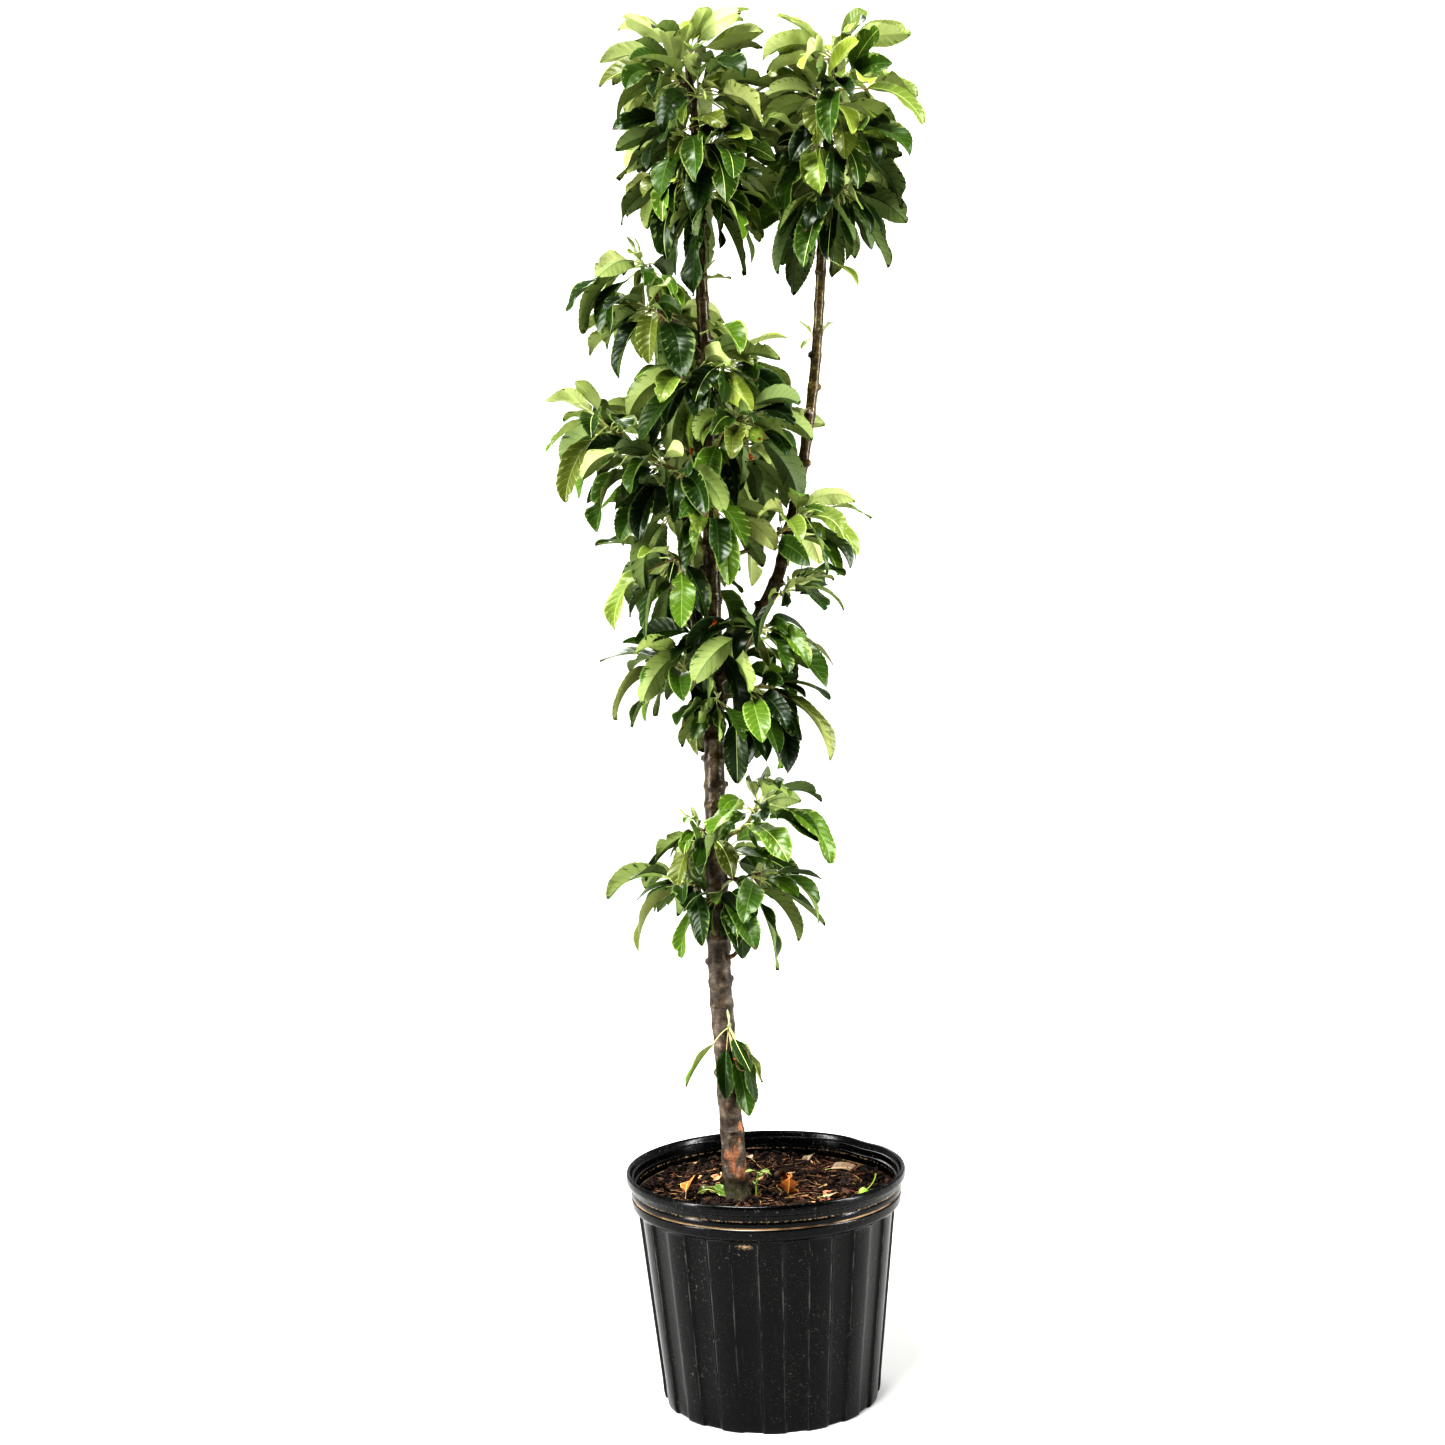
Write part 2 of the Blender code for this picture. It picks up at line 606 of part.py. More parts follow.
def grow_spur(spur, crown, foot, way, limb):
    """The skins of a spur's stem, twigs and leaves. A leaf with no free place is left out."""
    rng = random.Random(spur.seed)
    routes = stem_routes(spur, foot, way, rng)
    skins = []
    for number, route in enumerate(routes):
        radii = stem_radii(spur, limb, number > 0)
        sides, first_way = (TWIG_SIDES, None) if number else (STEM_SIDES, way)
        rings = tube_rings(route, radii, sides, first_way)
        skins.append(loft(rings))
    leaves = []
    for index in range(spur.leaves):
        for _ in range(TRIES):
            leaf = sprout(spur, routes, index, rng)
            blade_is_free = crown.is_free(leaf_rings(leaf, ROOM, FREE_STALK))
            if blade_is_free and crown.is_free(leaf_rings(leaf)[:2], spur.name):
                skins.append(loft(leaf_rings(leaf)))
                crown.add(spur.name, *skins[-1])
                leaves.append(leaf)
                break
    return skins, leaves


def fruit_skins(stem_tip):
    """A young fruit hanging on its stalk from the tip of a twig."""
    middle = stem_tip + FRUIT_WAY * (FRUIT_STALK + FRUIT_RADIUS)
    stalk = tube_rings([stem_tip - FRUIT_WAY * STALK_RADIUS, middle], [STALK_RADIUS] * 2, TWIG_SIDES)
    ball = bmesh.new()
    bmesh.ops.create_icosphere(ball, subdivisions=1, radius=FRUIT_RADIUS)
    points = [middle + vert.co for vert in ball.verts]
    faces = [tuple(vert.index for vert in face.verts) for face in ball.faces]
    ball.free()
    return [loft(stalk), (points, faces)]


def fuse(name, skins, surface):
    """One body from a spur's skins, by one union on a collection."""
    for solver in ("EXACT", "MANIFOLD"):
        group = bpy.data.collections.new(name)
        bpy.context.scene.collection.children.link(group)
        for number, (points, faces) in enumerate(skins[1:]):
            add_object(f"{name}_{number}", points, faces, surface, group)
        body = add_object(name, *skins[0], surface)
        apply_boolean(body, "UNION", solver, collection=group)
        for obj in list(group.objects):
            bpy.data.objects.remove(obj, do_unlink=True)
        bpy.data.collections.remove(group)
        if is_closed(body):
            return body
        bpy.data.objects.remove(body, do_unlink=True)
    print(f"{name} takes one leaf fewer, to fuse")
    return fuse(name, skins[:-1], surface)


def grow_crown(limbs):
    """Every spur in turn: stems first, so that no leaf lies in one, then the leaves."""
    trees = {}
    for name, obj in limbs.items():
        mesh = obj.data
        points = [vert.co.copy() for vert in mesh.vertices]
        trees[name] = tree_of(points, [tuple(face.vertices) for face in mesh.polygons])
    crown = Crown(trees)
    kinds = {limb.name: limb for limb in (TRUNK, *BOUGHS)}
    feet, fruit = {}, {}
    for spur in SPURS:
        limb = kinds[spur.host]
        foot, way = spur_foot(spur, limb, trees[spur.host])
        feet[spur.name] = foot, way, limb
        routes = stem_routes(spur, foot, way, random.Random(spur.seed))
        for number, route in enumerate(routes):
            radii = stem_radii(spur, limb, number > 0)
            crown.add(spur.name, *loft(tube_rings(route, radii, STEM_SIDES)))
        if spur.name == FRUITING:
            fruit[spur.name] = fruit_skins(routes[0][-1])
            for skin in fruit[spur.name]:
                crown.add(spur.name, *skin)
    grown = {}
    for spur in SPURS:
        foot, way, limb = feet[spur.name]
        skins, leaves = grow_spur(spur, crown, foot, way, limb)
        grown[spur.name] = skins + fruit.get(spur.name, []), leaves
    return grown


def main():
    clear_scene()
    make_pot()
    make_soil()
    limbs = make_limbs()
    grown = grow_crown(limbs)
    for spur in SPURS:
        fuse(spur.name, grown[spur.name][0], HABITS[spur.habit].colour)
    count = sum(len(leaves) for _, leaves in grown.values())
    print(f"{len(SPURS)} masses, {count} leaves")


main()
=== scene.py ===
import math
import random
from collections import namedtuple

import bmesh
import bpy
import numpy as np
from mathutils import Matrix, Vector, noise
from mathutils.bvhtree import BVHTree
from mathutils.geometry import interpolate_bezier


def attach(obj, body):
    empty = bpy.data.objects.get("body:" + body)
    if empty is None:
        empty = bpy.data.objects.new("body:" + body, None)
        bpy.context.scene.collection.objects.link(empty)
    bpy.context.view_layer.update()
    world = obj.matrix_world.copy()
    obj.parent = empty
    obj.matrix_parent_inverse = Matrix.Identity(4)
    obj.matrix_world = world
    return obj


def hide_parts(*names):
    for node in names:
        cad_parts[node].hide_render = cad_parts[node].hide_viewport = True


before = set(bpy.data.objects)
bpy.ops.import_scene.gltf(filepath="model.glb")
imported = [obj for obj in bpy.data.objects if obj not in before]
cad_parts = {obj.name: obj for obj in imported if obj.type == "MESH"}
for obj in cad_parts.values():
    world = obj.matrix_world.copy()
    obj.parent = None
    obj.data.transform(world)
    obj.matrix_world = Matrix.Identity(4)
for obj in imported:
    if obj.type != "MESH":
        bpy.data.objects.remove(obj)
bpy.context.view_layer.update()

view = {
    "place": (-0.0320, -2.1909, 0.8664),
    "pitch": 3.121,      # degrees down
    "roll": 1.8,         # the picture leans a little
    "lens": 50,
    "sensor": 36,
}


def aimCamera():
    pitch, roll = math.radians(view["pitch"]), math.radians(view["roll"])
    forward = Vector((0, math.cos(pitch), -math.sin(pitch)))
    level, plumb = Vector((1, 0, 0)), Vector((0, math.sin(pitch), math.cos(pitch)))
    right = level * math.cos(roll) - plumb * math.sin(roll)
    up = plumb * math.cos(roll) + level * math.sin(roll)
    data = bpy.data.cameras.new("camera")
    data.lens = view["lens"]
    data.sensor_fit = "HORIZONTAL"
    data.sensor_width = view["sensor"]
    camera = bpy.data.objects.new("camera", data)
    turn = Matrix((right, up, -forward)).transposed().to_4x4()
    camera.matrix_world = Matrix.Translation(view["place"]) @ turn
    bpy.context.scene.collection.objects.link(camera)
    bpy.context.scene.camera = camera


aimCamera()
print("camera set")


def linear(hexCode):
    channels = [int(hexCode[i:i + 2], 16) / 255 for i in (1, 3, 5)]
    return tuple(c / 12.92 if c <= 0.04045 else ((c + 0.055) / 1.055) ** 2.4 for c in channels)


def feed(node, inputs):
    # an input is a value, a hex colour, a socket, or a node whose colour or first output is meant
    for name, value in inputs.items():
        if isinstance(value, bpy.types.Node):
            value = value.outputs[2 if value.bl_idname == "ShaderNodeMix" else 0]
        if isinstance(value, bpy.types.NodeSocket):
            node.id_data.links.new(value, node.inputs[name])
        else:
            node.inputs[name].default_value = (*linear(value), 1) if isinstance(value, str) else value


def addNode(tree, kind, settings=None, inputs=None, stops=None):
    node = tree.nodes.new("ShaderNode" + kind)
    for name, value in (settings or {}).items():
        setattr(node, name, value)
    feed(node, inputs or {})
    for i, (place, shade) in enumerate(stops or ()):
        bead = node.color_ramp.elements[i] if i < 2 else node.color_ramp.elements.new(place)
        bead.position = place
        bead.color = (*linear(shade), 1)
    return node


def newFinish(name, shade, roughness, ior=1.45, **sockets):
    made = bpy.data.materials.new(name)
    made.use_nodes = True
    shader = made.node_tree.nodes["Principled BSDF"]
    shader.inputs["Base Color"].default_value = (*linear(shade), 1)
    shader.inputs["Roughness"].default_value = roughness
    shader.inputs["IOR"].default_value = ior
    for label, value in sockets.items():
        shader.inputs[label.replace("_", " ")].default_value = value
    return made


colours = {"data_type": "RGBA"}   # what a Mix node mixes


def patternedFinish(*told, **sockets):
    # a finish with its node tree, its shader and the place on the piece, for patterns
    made = newFinish(*told, **sockets)
    tree = made.node_tree
    return made, tree, tree.nodes["Principled BSDF"], addNode(tree, "TexCoord").outputs["Object"]


def mottledFinish(name, shades, roughness, width):
    # soft mottling between two shades, with a raised grain a tenth as wide
    made, tree, shader, where = patternedFinish(name, shades[0], roughness)
    mottle = addNode(tree, "TexNoise", inputs={"Vector": where, "Scale": 1 / width, "Detail": 4.0})
    toned = addNode(tree, "ValToRGB", inputs={"Fac": mottle}, stops=((0.35, shades[0]), (0.65, shades[1])))
    grain = addNode(tree, "TexNoise", inputs={"Vector": where, "Scale": 10 / width, "Detail": 2.0})
    raised = addNode(tree, "Bump", inputs={"Height": grain, "Strength": 0.5, "Distance": width / 12})
    feed(shader, {"Base Color": toned, "Normal": raised})
    return made


class Heap:
    # gathers many small shapes for one joined piece
    def __init__(self):
        self.points, self.faces, self.count = [], [], 0

    def add(self, points, faces, finish=None):
        # each row of faces names its own finish, unless one is given for all
        self.points.append(np.asarray(points, float))
        for corners, own in faces:
            chosen = own if finish is None else finish
            self.faces.append((corners + self.count, np.broadcast_to(chosen, len(corners))))
        self.count += len(points)


def addPiece(name, heap, finishes, smooth=True):
    corners = np.concatenate([rows.ravel() for rows, _ in heap.faces]).astype(np.int32)
    sizes = np.concatenate([np.full(len(rows), rows.shape[1]) for rows, _ in heap.faces])
    chosen = np.concatenate([finish for _, finish in heap.faces]).astype(np.int32)
    starts = (np.cumsum(sizes) - sizes).astype(np.int32)
    mesh = bpy.data.meshes.new(name)
    mesh.vertices.add(heap.count)
    mesh.vertices.foreach_set("co", np.concatenate(heap.points).astype(np.float32).ravel())
    mesh.loops.add(len(corners))
    mesh.loops.foreach_set("vertex_index", corners)
    mesh.polygons.add(len(sizes))
    mesh.polygons.foreach_set("loop_start", starts)
    mesh.polygons.foreach_set("material_index", chosen)
    mesh.polygons.foreach_set("use_smooth", np.full(len(sizes), smooth))
    for finish in finishes:
        mesh.materials.append(finish)
    mesh.update(calc_edges=True)
    obj = bpy.data.objects.new(name, mesh)
    bpy.context.scene.collection.objects.link(obj)
    print(f"{name}: {int((sizes - 2).sum())} triangles")
    return obj


def wrap(rows, columns, capped=(True, True)):
    # faces over a stack of closed rings, with a flat cap on either end
    across = np.arange(columns)
    beside = (across + 1) % columns
    low = (np.arange(rows - 1) * columns)[:, None]
    quads = np.stack([low + across, low + beside, low + columns + beside, low + columns + across], 2)
    faces = [(quads.reshape(-1, 4), 0)]
    if capped[0]:
        faces.append((across[::-1][None, :].copy(), 0))
    if capped[1]:
        faces.append((((rows - 1) * columns + across)[None, :], 0))
    return faces


def interpolate(pairs, at):
    for (low, first), (high, second) in zip(pairs, pairs[1:]):
        if at <= high:
            share = max(0.0, (at - low) / (high - low))
            return first + (second - first) * share
    return pairs[-1][1]


def heading(azimuth, lift):
    turn, rise = math.radians(azimuth), math.radians(lift)
    return Vector((math.cos(rise) * math.cos(turn), math.cos(rise) * math.sin(turn), math.sin(rise)))


def routeThrough(knots, count):
    # evenly spaced points along a smooth curve through the knots
    knots = [Vector(knot) for knot in knots]
    ends = [2 * knots[0] - knots[1], *knots, 2 * knots[-1] - knots[-2]]
    fine = [knots[0]]
    for before, first, second, after in zip(ends, ends[1:], ends[2:], ends[3:]):
        leave, arrive = first + (second - before) / 6, second - (after - first) / 6
        fine += interpolate_bezier(first, leave, arrive, second, 12)[1:]
    walked = [0.0]
    for first, second in zip(fine, fine[1:]):
        walked.append(walked[-1] + (second - first).length)
    places = list(zip(walked, fine))
    return [interpolate(places, walked[-1] * i / (count - 1)) for i in range(count)]


def tangents(points):
    ahead, behind = points[1:] + points[-1:], points[:1] + points[:-1]
    return [(after - before).normalized() for before, after in zip(behind, ahead)]


def tubeRings(points, radii, sides, firstWay=None):
    ways = tangents(points)
    if firstWay:
        ways[0] = firstWay
    across = ways[0].orthogonal().normalized()
    rings = []
    for point, way, radius in zip(points, ways, radii):
        across = (across - way * across.dot(way)).normalized()
        upward = way.cross(across)
        rings.append([
            point + radius * (across * math.cos(turn) + upward * math.sin(turn))
            for turn in (math.tau * i / sides for i in range(sides))
        ])
    return rings


def tube(points, radii, sides):
    # a round tube as (points, faces), for a heap
    rings = tubeRings([Vector(point) for point in points], radii, sides)
    return np.array(rings).reshape(-1, 3), wrap(len(rings), sides)


def bowed(start, end, bow, count):
    # points from start to end, bent aside by bow at the middle
    start, end = Vector(start), Vector(end)
    shares = [i / (count - 1) for i in range(count)]
    return [start.lerp(end, s) + Vector(bow) * 4 * s * (1 - s) for s in shares]


def bump(distance):
    return np.exp(-np.square(distance))


def smoothStep(low, high, at):
    share = np.clip((at - low) / (high - low), 0, 1)
    return share * share * (3 - 2 * share)


pot = {
    "height": 0.2545, "rim": 0.1545, "band": 0.1495,
    "base": 0.1195, "wallTop": (0.1428, 0.2115),
    "flutes": 16, "raised": 10.8, "sunken": 9.2, "depth": 0.0028,
    "wall": 0.0018, "floor": 0.0030, "groove": 0.2285,
    "bulge": 0.0008, "bulgeFrom": (0.004, 0.030),      # the lands are flat at the foot
    "dent": (38, 9, 0.0022, 0.0012),   # azimuth and spread in degrees, metres inward and down
    "dentFrom": (0.200, 0.250),
    "outOfRound": 0.0007, "ovalTurn": 0.7, "ovalFrom": (0.05, 0.25),
    "sharpOver": 48,
    # the dust colour also paints the highlight lines along the flute shoulders
    "plastic": "#060708", "dust": "#8C8880", "soil": "#A58E70",
    # noise that marks the plastic: width in metres, detail, roughness
    "noises": {"clouds": (0.05, 5.0, 0.62), "flecks": (0.0035, 4.0, 0.7), "skin": (0.012, 4.0, 0.5)},
    # each mark: its noise, where it starts and is full, and how strong it is at either end
    "marks": {
        "dusty": ("clouds", 0.48, 0.74, 0.03, 0.9), "flecked": ("flecks", 0.60, 0.74, 0.0, 1.0),
        "streaky": ("streaks", 0.60, 0.80, 0.0, 0.05), "scored": ("scratches", 0.69, 0.74, 0.0, 0.8),
        "patchy": ("clouds", 0.36, 0.56, 0.15, 1.0), "broken": ("flecks", 0.47, 0.60, 0.0, 0.6),
        # rubbed only breaks up the painted highlight lines along the flute shoulders
        "specked": ("flecks", 0.40, 0.56, 0.0, 1.0), "rubbed": ("streaks", 0.42, 0.62, 0.0, 1.0),
    },
    # each zone up the wall: from which height to which, and how strong its marks are there
    # belowBand and upTheWall bound the painted highlight lines along the shoulders, which grow stronger up
    # the wall
    "zones": {"belowBand": (0.2085, 0.2110, 1.0, 0.0), "upTheWall": (0.02, 0.20, 0.08, 0.28),
              "onBand": (0.2305, 0.2400, 0.0, 0.45)},
    "mud": (-0.0275, -0.1385, 0.2065), "mudReach": (0.0050, 0.0120),
}

# where a raised land ends and a sunken one begins, in degrees from the raised one's middle
shoulder = (pot["raised"] / 2 - 0.2, 180 / pot["flutes"] - pot["sunken"] / 2 + 0.2)


def fluteDepth(degrees):
    # 0 on a raised land, 1 in a sunken one, with rounded shoulders
    period = 360 / pot["flutes"]
    away = np.abs((degrees + period / 2) % period - period / 2)
    return smoothStep(*shoulder, away)


def landBulge(degrees):
    # a raised land falls away to its edges and a sunken one is hollow: 0 to 1 below the plain wall
    period = 360 / pot["flutes"]
    away = np.abs((degrees + period / 2) % period - period / 2)
    raised = np.clip(away / shoulder[0], 0, 1) ** 2
    hollow = 1 - np.clip((period / 2 - away) / (period / 2 - shoulder[1]), 0, 1) ** 2
    return raised + hollow * smoothStep(*shoulder, away)


def wallRadius(z):
    topRadius, top = pot["wallTop"]
    return pot["base"] + (topRadius - pot["base"]) * z / top


def potProfile():
    # (radius, height, share of the flutes) from the middle of the foot, up the outside and down the inside;
    # a step gives how far out, how far up and, below the band, its share of the flutes
    topRadius, top = pot["wallTop"]
    band, rim, height, groove = pot["band"], pot["rim"], pot["height"], pot["groove"]
    inside = band - pot["wall"]
    rows = [(0.012, 0.0006, 0), (0.070, 0.0006, 0), (0.108, 0.0006, 0.4), (0.1135, 0.0, 1),
            (0.1165, 0.0, 1), (0.1180, 0.0006, 1), (0.1190, 0.0018, 1), (0.1195, 0.0040, 1)]
    rows += [(wallRadius(z), z, 1) for z in np.linspace(0.008, top - 0.004, 26)]
    for middle, level, steps in (
            (topRadius, top, ((-0.0001, -0.0015, 1), (0.0001, 0, 0.93), (0.0006, 0.0013, 0.55),
                              (0.0013, 0.0024, 0.18), (0.0026, 0.0036, 0), (0.0044, 0.0047, 0))),
            (band, top, ((-0.0012, 0.0060), (-0.0007, 0.0078))),
            (band, groove, ((-0.0003, -0.0026), (-0.0006, -0.0014), (-0.0019, -0.0006), (-0.0022, 0),
                            (-0.0019, 0.0006), (-0.0006, 0.0014), (-0.0001, 0.0024), (0.0001, 0.0060),
                            (-0.0006, 0.0072), (-0.0006, 0.0082), (0.0003, 0.0094))),
            (band, height, ((0.0006, -0.0128), (0.0018, -0.0116))),
            (rim, height, ((-0.0010, -0.0104), (-0.0002, -0.0090), (0, -0.0070), (-0.0002, -0.0028),
                           (-0.0008, -0.0010), (-0.0022, -0.0001), (-0.0038, -0.0006),
                           (-0.0048, -0.0020))),
            (inside, height, ((0.0010, -0.0050), (0.0004, -0.0066), (-0.0014, -0.0074),
                              (-0.0018, -0.0100), (-0.0022, -0.0136), (-0.0042, -0.0146),
                              (-0.0046, -0.0180), (-0.0050, -0.0250), (-0.0062, -0.0340)))):
        rows += [(middle + out, level + up, *(share or (0,))) for out, up, *share in steps]
    rows += [(topRadius - pot["wall"], top, 1), (wallRadius(0.1) - pot["wall"], 0.1, 1),
             (wallRadius(pot["floor"]) - pot["wall"], pot["floor"], 1), (0.012, pot["floor"], 0)]
    return np.array(rows)


def plasticFinish():
    # polyethylene, blow moulded: a soft gloss, dulled by handling, with dust and dried mix on it, and a
    # painted highlight line along each flute shoulder
    made, tree, shader, where = patternedFinish(
        "pot_polyethylene", "#15171A", 0.40, 1.40, Specular_IOR_Level=0.4)
    apart = addNode(tree, "SeparateXYZ", inputs={"Vector": where})
    height = apart.outputs["Z"]
    # clouds of dust a hand wide, 3 mm flecks, and the skin of the moulding
    noises = {name: addNode(tree, "TexNoise", inputs={
        "Vector": where, "Scale": 1 / width, "Detail": detail, "Roughness": rough})
        for name, (width, detail, rough) in pot["noises"].items()}
    # faint streaks run down the wall: 2.5 mm across, 60 mm long
    tall = addNode(tree, "VectorMath", {"operation": "MULTIPLY"},
                   {0: where, 1: (1 / 0.0025, 1 / 0.0025, 1 / 0.06)})
    noises["streaks"] = addNode(tree, "TexNoise", inputs={"Vector": tall, "Scale": 1.0, "Detail": 4.0})
    # scratches: long thin noise laid askew, half a millimetre across
    askew = addNode(tree, "Mapping", {"vector_type": "TEXTURE"},
                    {"Vector": where, "Rotation": (0.5, 0.9, 0.4), "Scale": (0.0005, 0.022, 0.0005)})
    noises["scratches"] = addNode(tree, "TexNoise", inputs={"Vector": askew, "Scale": 1.0, "Detail": 2.0})
    sources = [(name, noises[noise], *limits) for name, (noise, *limits) in pot["marks"].items()]
    sources += [(name, height, *limits) for name, limits in pot["zones"].items()]
    marks = {name: addNode(tree, "MapRange", inputs={
        "Value": source, "From Min": start, "From Max": full, "To Min": weak, "To Max": strong})
        for name, source, start, full, weak, strong in sources}
    # dried mix stays in the groove under the upper band, and a thinner broken line in the step under the lip
    lines = (("inGroove", pot["groove"], 0.0010), ("underLip", pot["groove"] + 0.0080, 0.0009))
    for name, level, half in lines:
        marks[name] = addNode(tree, "Math", {"operation": "COMPARE"}, {0: height, 1: level, 2: half})
    # dried mud 12 mm across, just under the band
    flattened = addNode(tree, "Mapping", {"vector_type": "POINT"},
                        {"Vector": where, "Scale": (1, 1, 3), "Location": (0, 0, -2 * pot["mud"][2])})
    awayFrom = addNode(tree, "VectorMath", {"operation": "DISTANCE"}, {0: flattened, 1: pot["mud"]})
    near, far = pot["mudReach"]
    marks["muddy"] = addNode(tree, "MapRange", inputs={
        "Value": awayFrom.outputs["Value"], "From Min": near, "From Max": far, "To Min": 1.0, "To Max": 0.0})
    # a painted highlight: a pale line in the dust colour along each land's shoulder; how far round the wall a
    # point is, in flutes, from a land's middle
    turned = addNode(tree, "Math", {"operation": "ARCTAN2"}, {0: apart.outputs["Y"], 1: apart.outputs["X"]})
    inFlutes = addNode(tree, "Math", {"operation": "MULTIPLY"}, {0: turned, 1: pot["flutes"] / math.tau})
    away = addNode(tree, "Math", {"operation": "PINGPONG"}, {0: inFlutes, 1: 0.5})
    marks["shoulderHighlight"] = addNode(tree, "Math", {"operation": "COMPARE"},
                              {0: away, 1: shoulder[0] * pot["flutes"] / 360, 2: 0.014})

    def together(operation, *names):
        whole = marks[names[0]]
        for name in names[1:]:
            whole = addNode(tree, "Math", {"operation": operation}, {0: whole, 1: marks[name]})
        return whole

    marks["dust"] = together("MULTIPLY", "dusty", "flecked")
    marks["smeared"] = together("MULTIPLY", "onBand", "flecked")
    # painted highlight lines on the shoulders, below the band and stronger up the wall
    marks["edge"] = together("MULTIPLY", "shoulderHighlight", "belowBand", "upTheWall", "rubbed")
    marks["line"] = together("MULTIPLY", "inGroove", "patchy")
    marks["upperLine"] = together("MULTIPLY", "underLip", "broken")
    marks["mud"] = together("MULTIPLY", "muddy", "specked")
    # dust, streaks, smears, scratches and the painted shoulder highlights together
    wornAndHighlit = together("MAXIMUM", "dust", "streaky", "smeared", "scored", "edge")
    soiled = together("MAXIMUM", "line", "upperLine", "mud")
    dustedAndHighlit = addNode(tree, "Mix", colours, {"Factor": wornAndHighlit, 6: pot["plastic"], 7: pot["dust"]})
    coated = addNode(tree, "Mix", colours, {"Factor": soiled, 6: dustedAndHighlit, 7: pot["soil"]})
    dulled = addNode(tree, "MapRange", inputs={
        "Value": wornAndHighlit, "From Max": 0.5, "To Min": 0.22, "To Max": 0.72})
    pressed = addNode(tree, "Bump", inputs={"Height": noises["skin"], "Strength": 0.25, "Distance": 0.0012})
    feed(shader, {"Base Color": coated, "Roughness": dulled, "Normal": pressed})
    return made


def makePot():
    profile = potProfile()
    # each flute's columns lie close together on its shoulders
    period = 360 / pot["flutes"]
    near = [0, 0.33 * shoulder[0], 0.67 * shoulder[0], *np.linspace(*shoulder, 5)]
    near += [shoulder[1] + (period / 2 - shoulder[1]) * share for share in (0.33, 0.67)]
    flute = np.array([*near, period / 2, *(period - away for away in near[:0:-1])])
    degrees = (np.arange(pot["flutes"])[:, None] * period + flute).ravel()
    columns = len(degrees)
    radius, height, share = (profile[:, k][:, None] for k in range(3))
    azimuth, spread, inward, down = pot["dent"]
    away = (degrees - azimuth + 180) % 360 - 180
    dented = bump(away / spread) * smoothStep(*pot["dentFrom"], height)
    # the wall is a little out of round, and more so towards the lip
    turn = np.radians(degrees)
    oval = pot["outOfRound"] * (np.cos(2 * turn + pot["ovalTurn"]) - 1)
    oval = oval * smoothStep(*pot["ovalFrom"], height) * (radius > 0.05)
    reach = radius - pot["depth"] * fluteDepth(degrees) * share + oval - inward * dented
    reach = reach - pot["bulge"] * landBulge(degrees) * share * smoothStep(*pot["bulgeFrom"], height)
    level = height + 0 * degrees - down * dented
    points = np.stack([reach * np.cos(turn), reach * np.sin(turn), level], 2)
    heap = Heap()
    heap.add(points.reshape(-1, 3), wrap(len(profile), columns))
    obj = addPiece("nurseryPot", heap, [plasticFinish()])
    obj.data.set_sharp_from_angle(angle=math.radians(pot["sharpOver"]))
    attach(obj, "root")
    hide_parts("pot")


makePot()


mix = {
    "level": 0.2300, "swell": 0.0022, "edge": 0.1402, "underside": 0.2200,
    "rings": 70, "columns": 220, "sunk": 0.0006,
    "grains": ((0.005, 3.0, 1.0), (0.002, 9.0, 0.6)), "grainRise": 0.0009,   # width, layer, share
    "reach": 0.137, "lip": 0.1395, "footClear": 0.0165,   # chips stay inside the lip and clear of the trunk
    "chips": 3700, "chipLength": (0.0032, 0.0125, 2.6), "chipWidth": (0.14, 0.42),
    "chipDepth": (0.12, 0.3), "thickest": 0.003, "tilt": 0.30, "tiltRoom": (0.1385, 0.01),
    "straws": 420, "strawReach": (0.120, 0.136), "strawClear": 0.017, "strawLength": (0.010, 0.034),
    "strawRadius": (0.00035, 0.00075), "strawRise": (0.0008, 0.0030),
    # paler splinters: how many, their length and depth, and the two places where most of them lie
    "palePieces": 40, "paleReach": 0.13, "paleLength": (0.006, 0.015), "paleDepth": 0.0013,
    "paleHeaps": ((0.35, (-0.062, 0.014), (0.030, 0.018)), (0.6, (0.068, 0.016), (-0.066, 0.010))),
    "shades": (("#291D15", "#150F0A"), ("#342419", "#1E150F"), ("#1C130E", "#0F0A07"),
               ("#433325", "#291E15"), ("#604A39", "#3B2C1E"), ("#130D07", "#0B0705"),
               ("#614533", "#39261B"), ("#37271D", "#1C140F")),
    "paleShades": (("#B58E66", "#8A6644"), ("#C9AC86", "#9C7C58"), ("#C08A6C", "#8E5C44")),
}
footPlace = Vector((-0.032, -0.032, 0.2303))


def mixHeight(x, y):
    waves = np.sin(31 * x + 11 * y + 0.6) + 0.7 * np.sin(43 * y - 17 * x + 2.1)
    away = np.hypot(x - footPlace.x, y - footPlace.y) - 0.024
    share = np.clip(away / 0.030, 0, 1)
    return mix["level"] + mix["swell"] * 0.5 * waves * share * share * (3 - 2 * share)


def onMix(x, y, above):
    return Vector((x, y, float(mixHeight(x, y)) + above))


def compostFinish():
    # composted bark fines: matt, dark and damp, 1 to 3 mm grains
    made, tree, shader, where = patternedFinish("compost_fines", "#2B1A12", 0.92)
    grains = addNode(tree, "TexVoronoi", inputs={"Vector": where, "Scale": 1 / 0.0022})
    clumps = addNode(tree, "TexNoise", inputs={"Vector": where, "Scale": 1 / 0.015, "Detail": 4.0})
    toned = addNode(tree, "Mix", colours, {"Factor": clumps, 6: "#140C08", 7: "#3C281C"})
    rough = addNode(tree, "Bump", inputs={"Height": grains, "Strength": 0.8, "Distance": 0.0012})
    feed(shader, {"Base Color": toned, "Normal": rough})
    return made


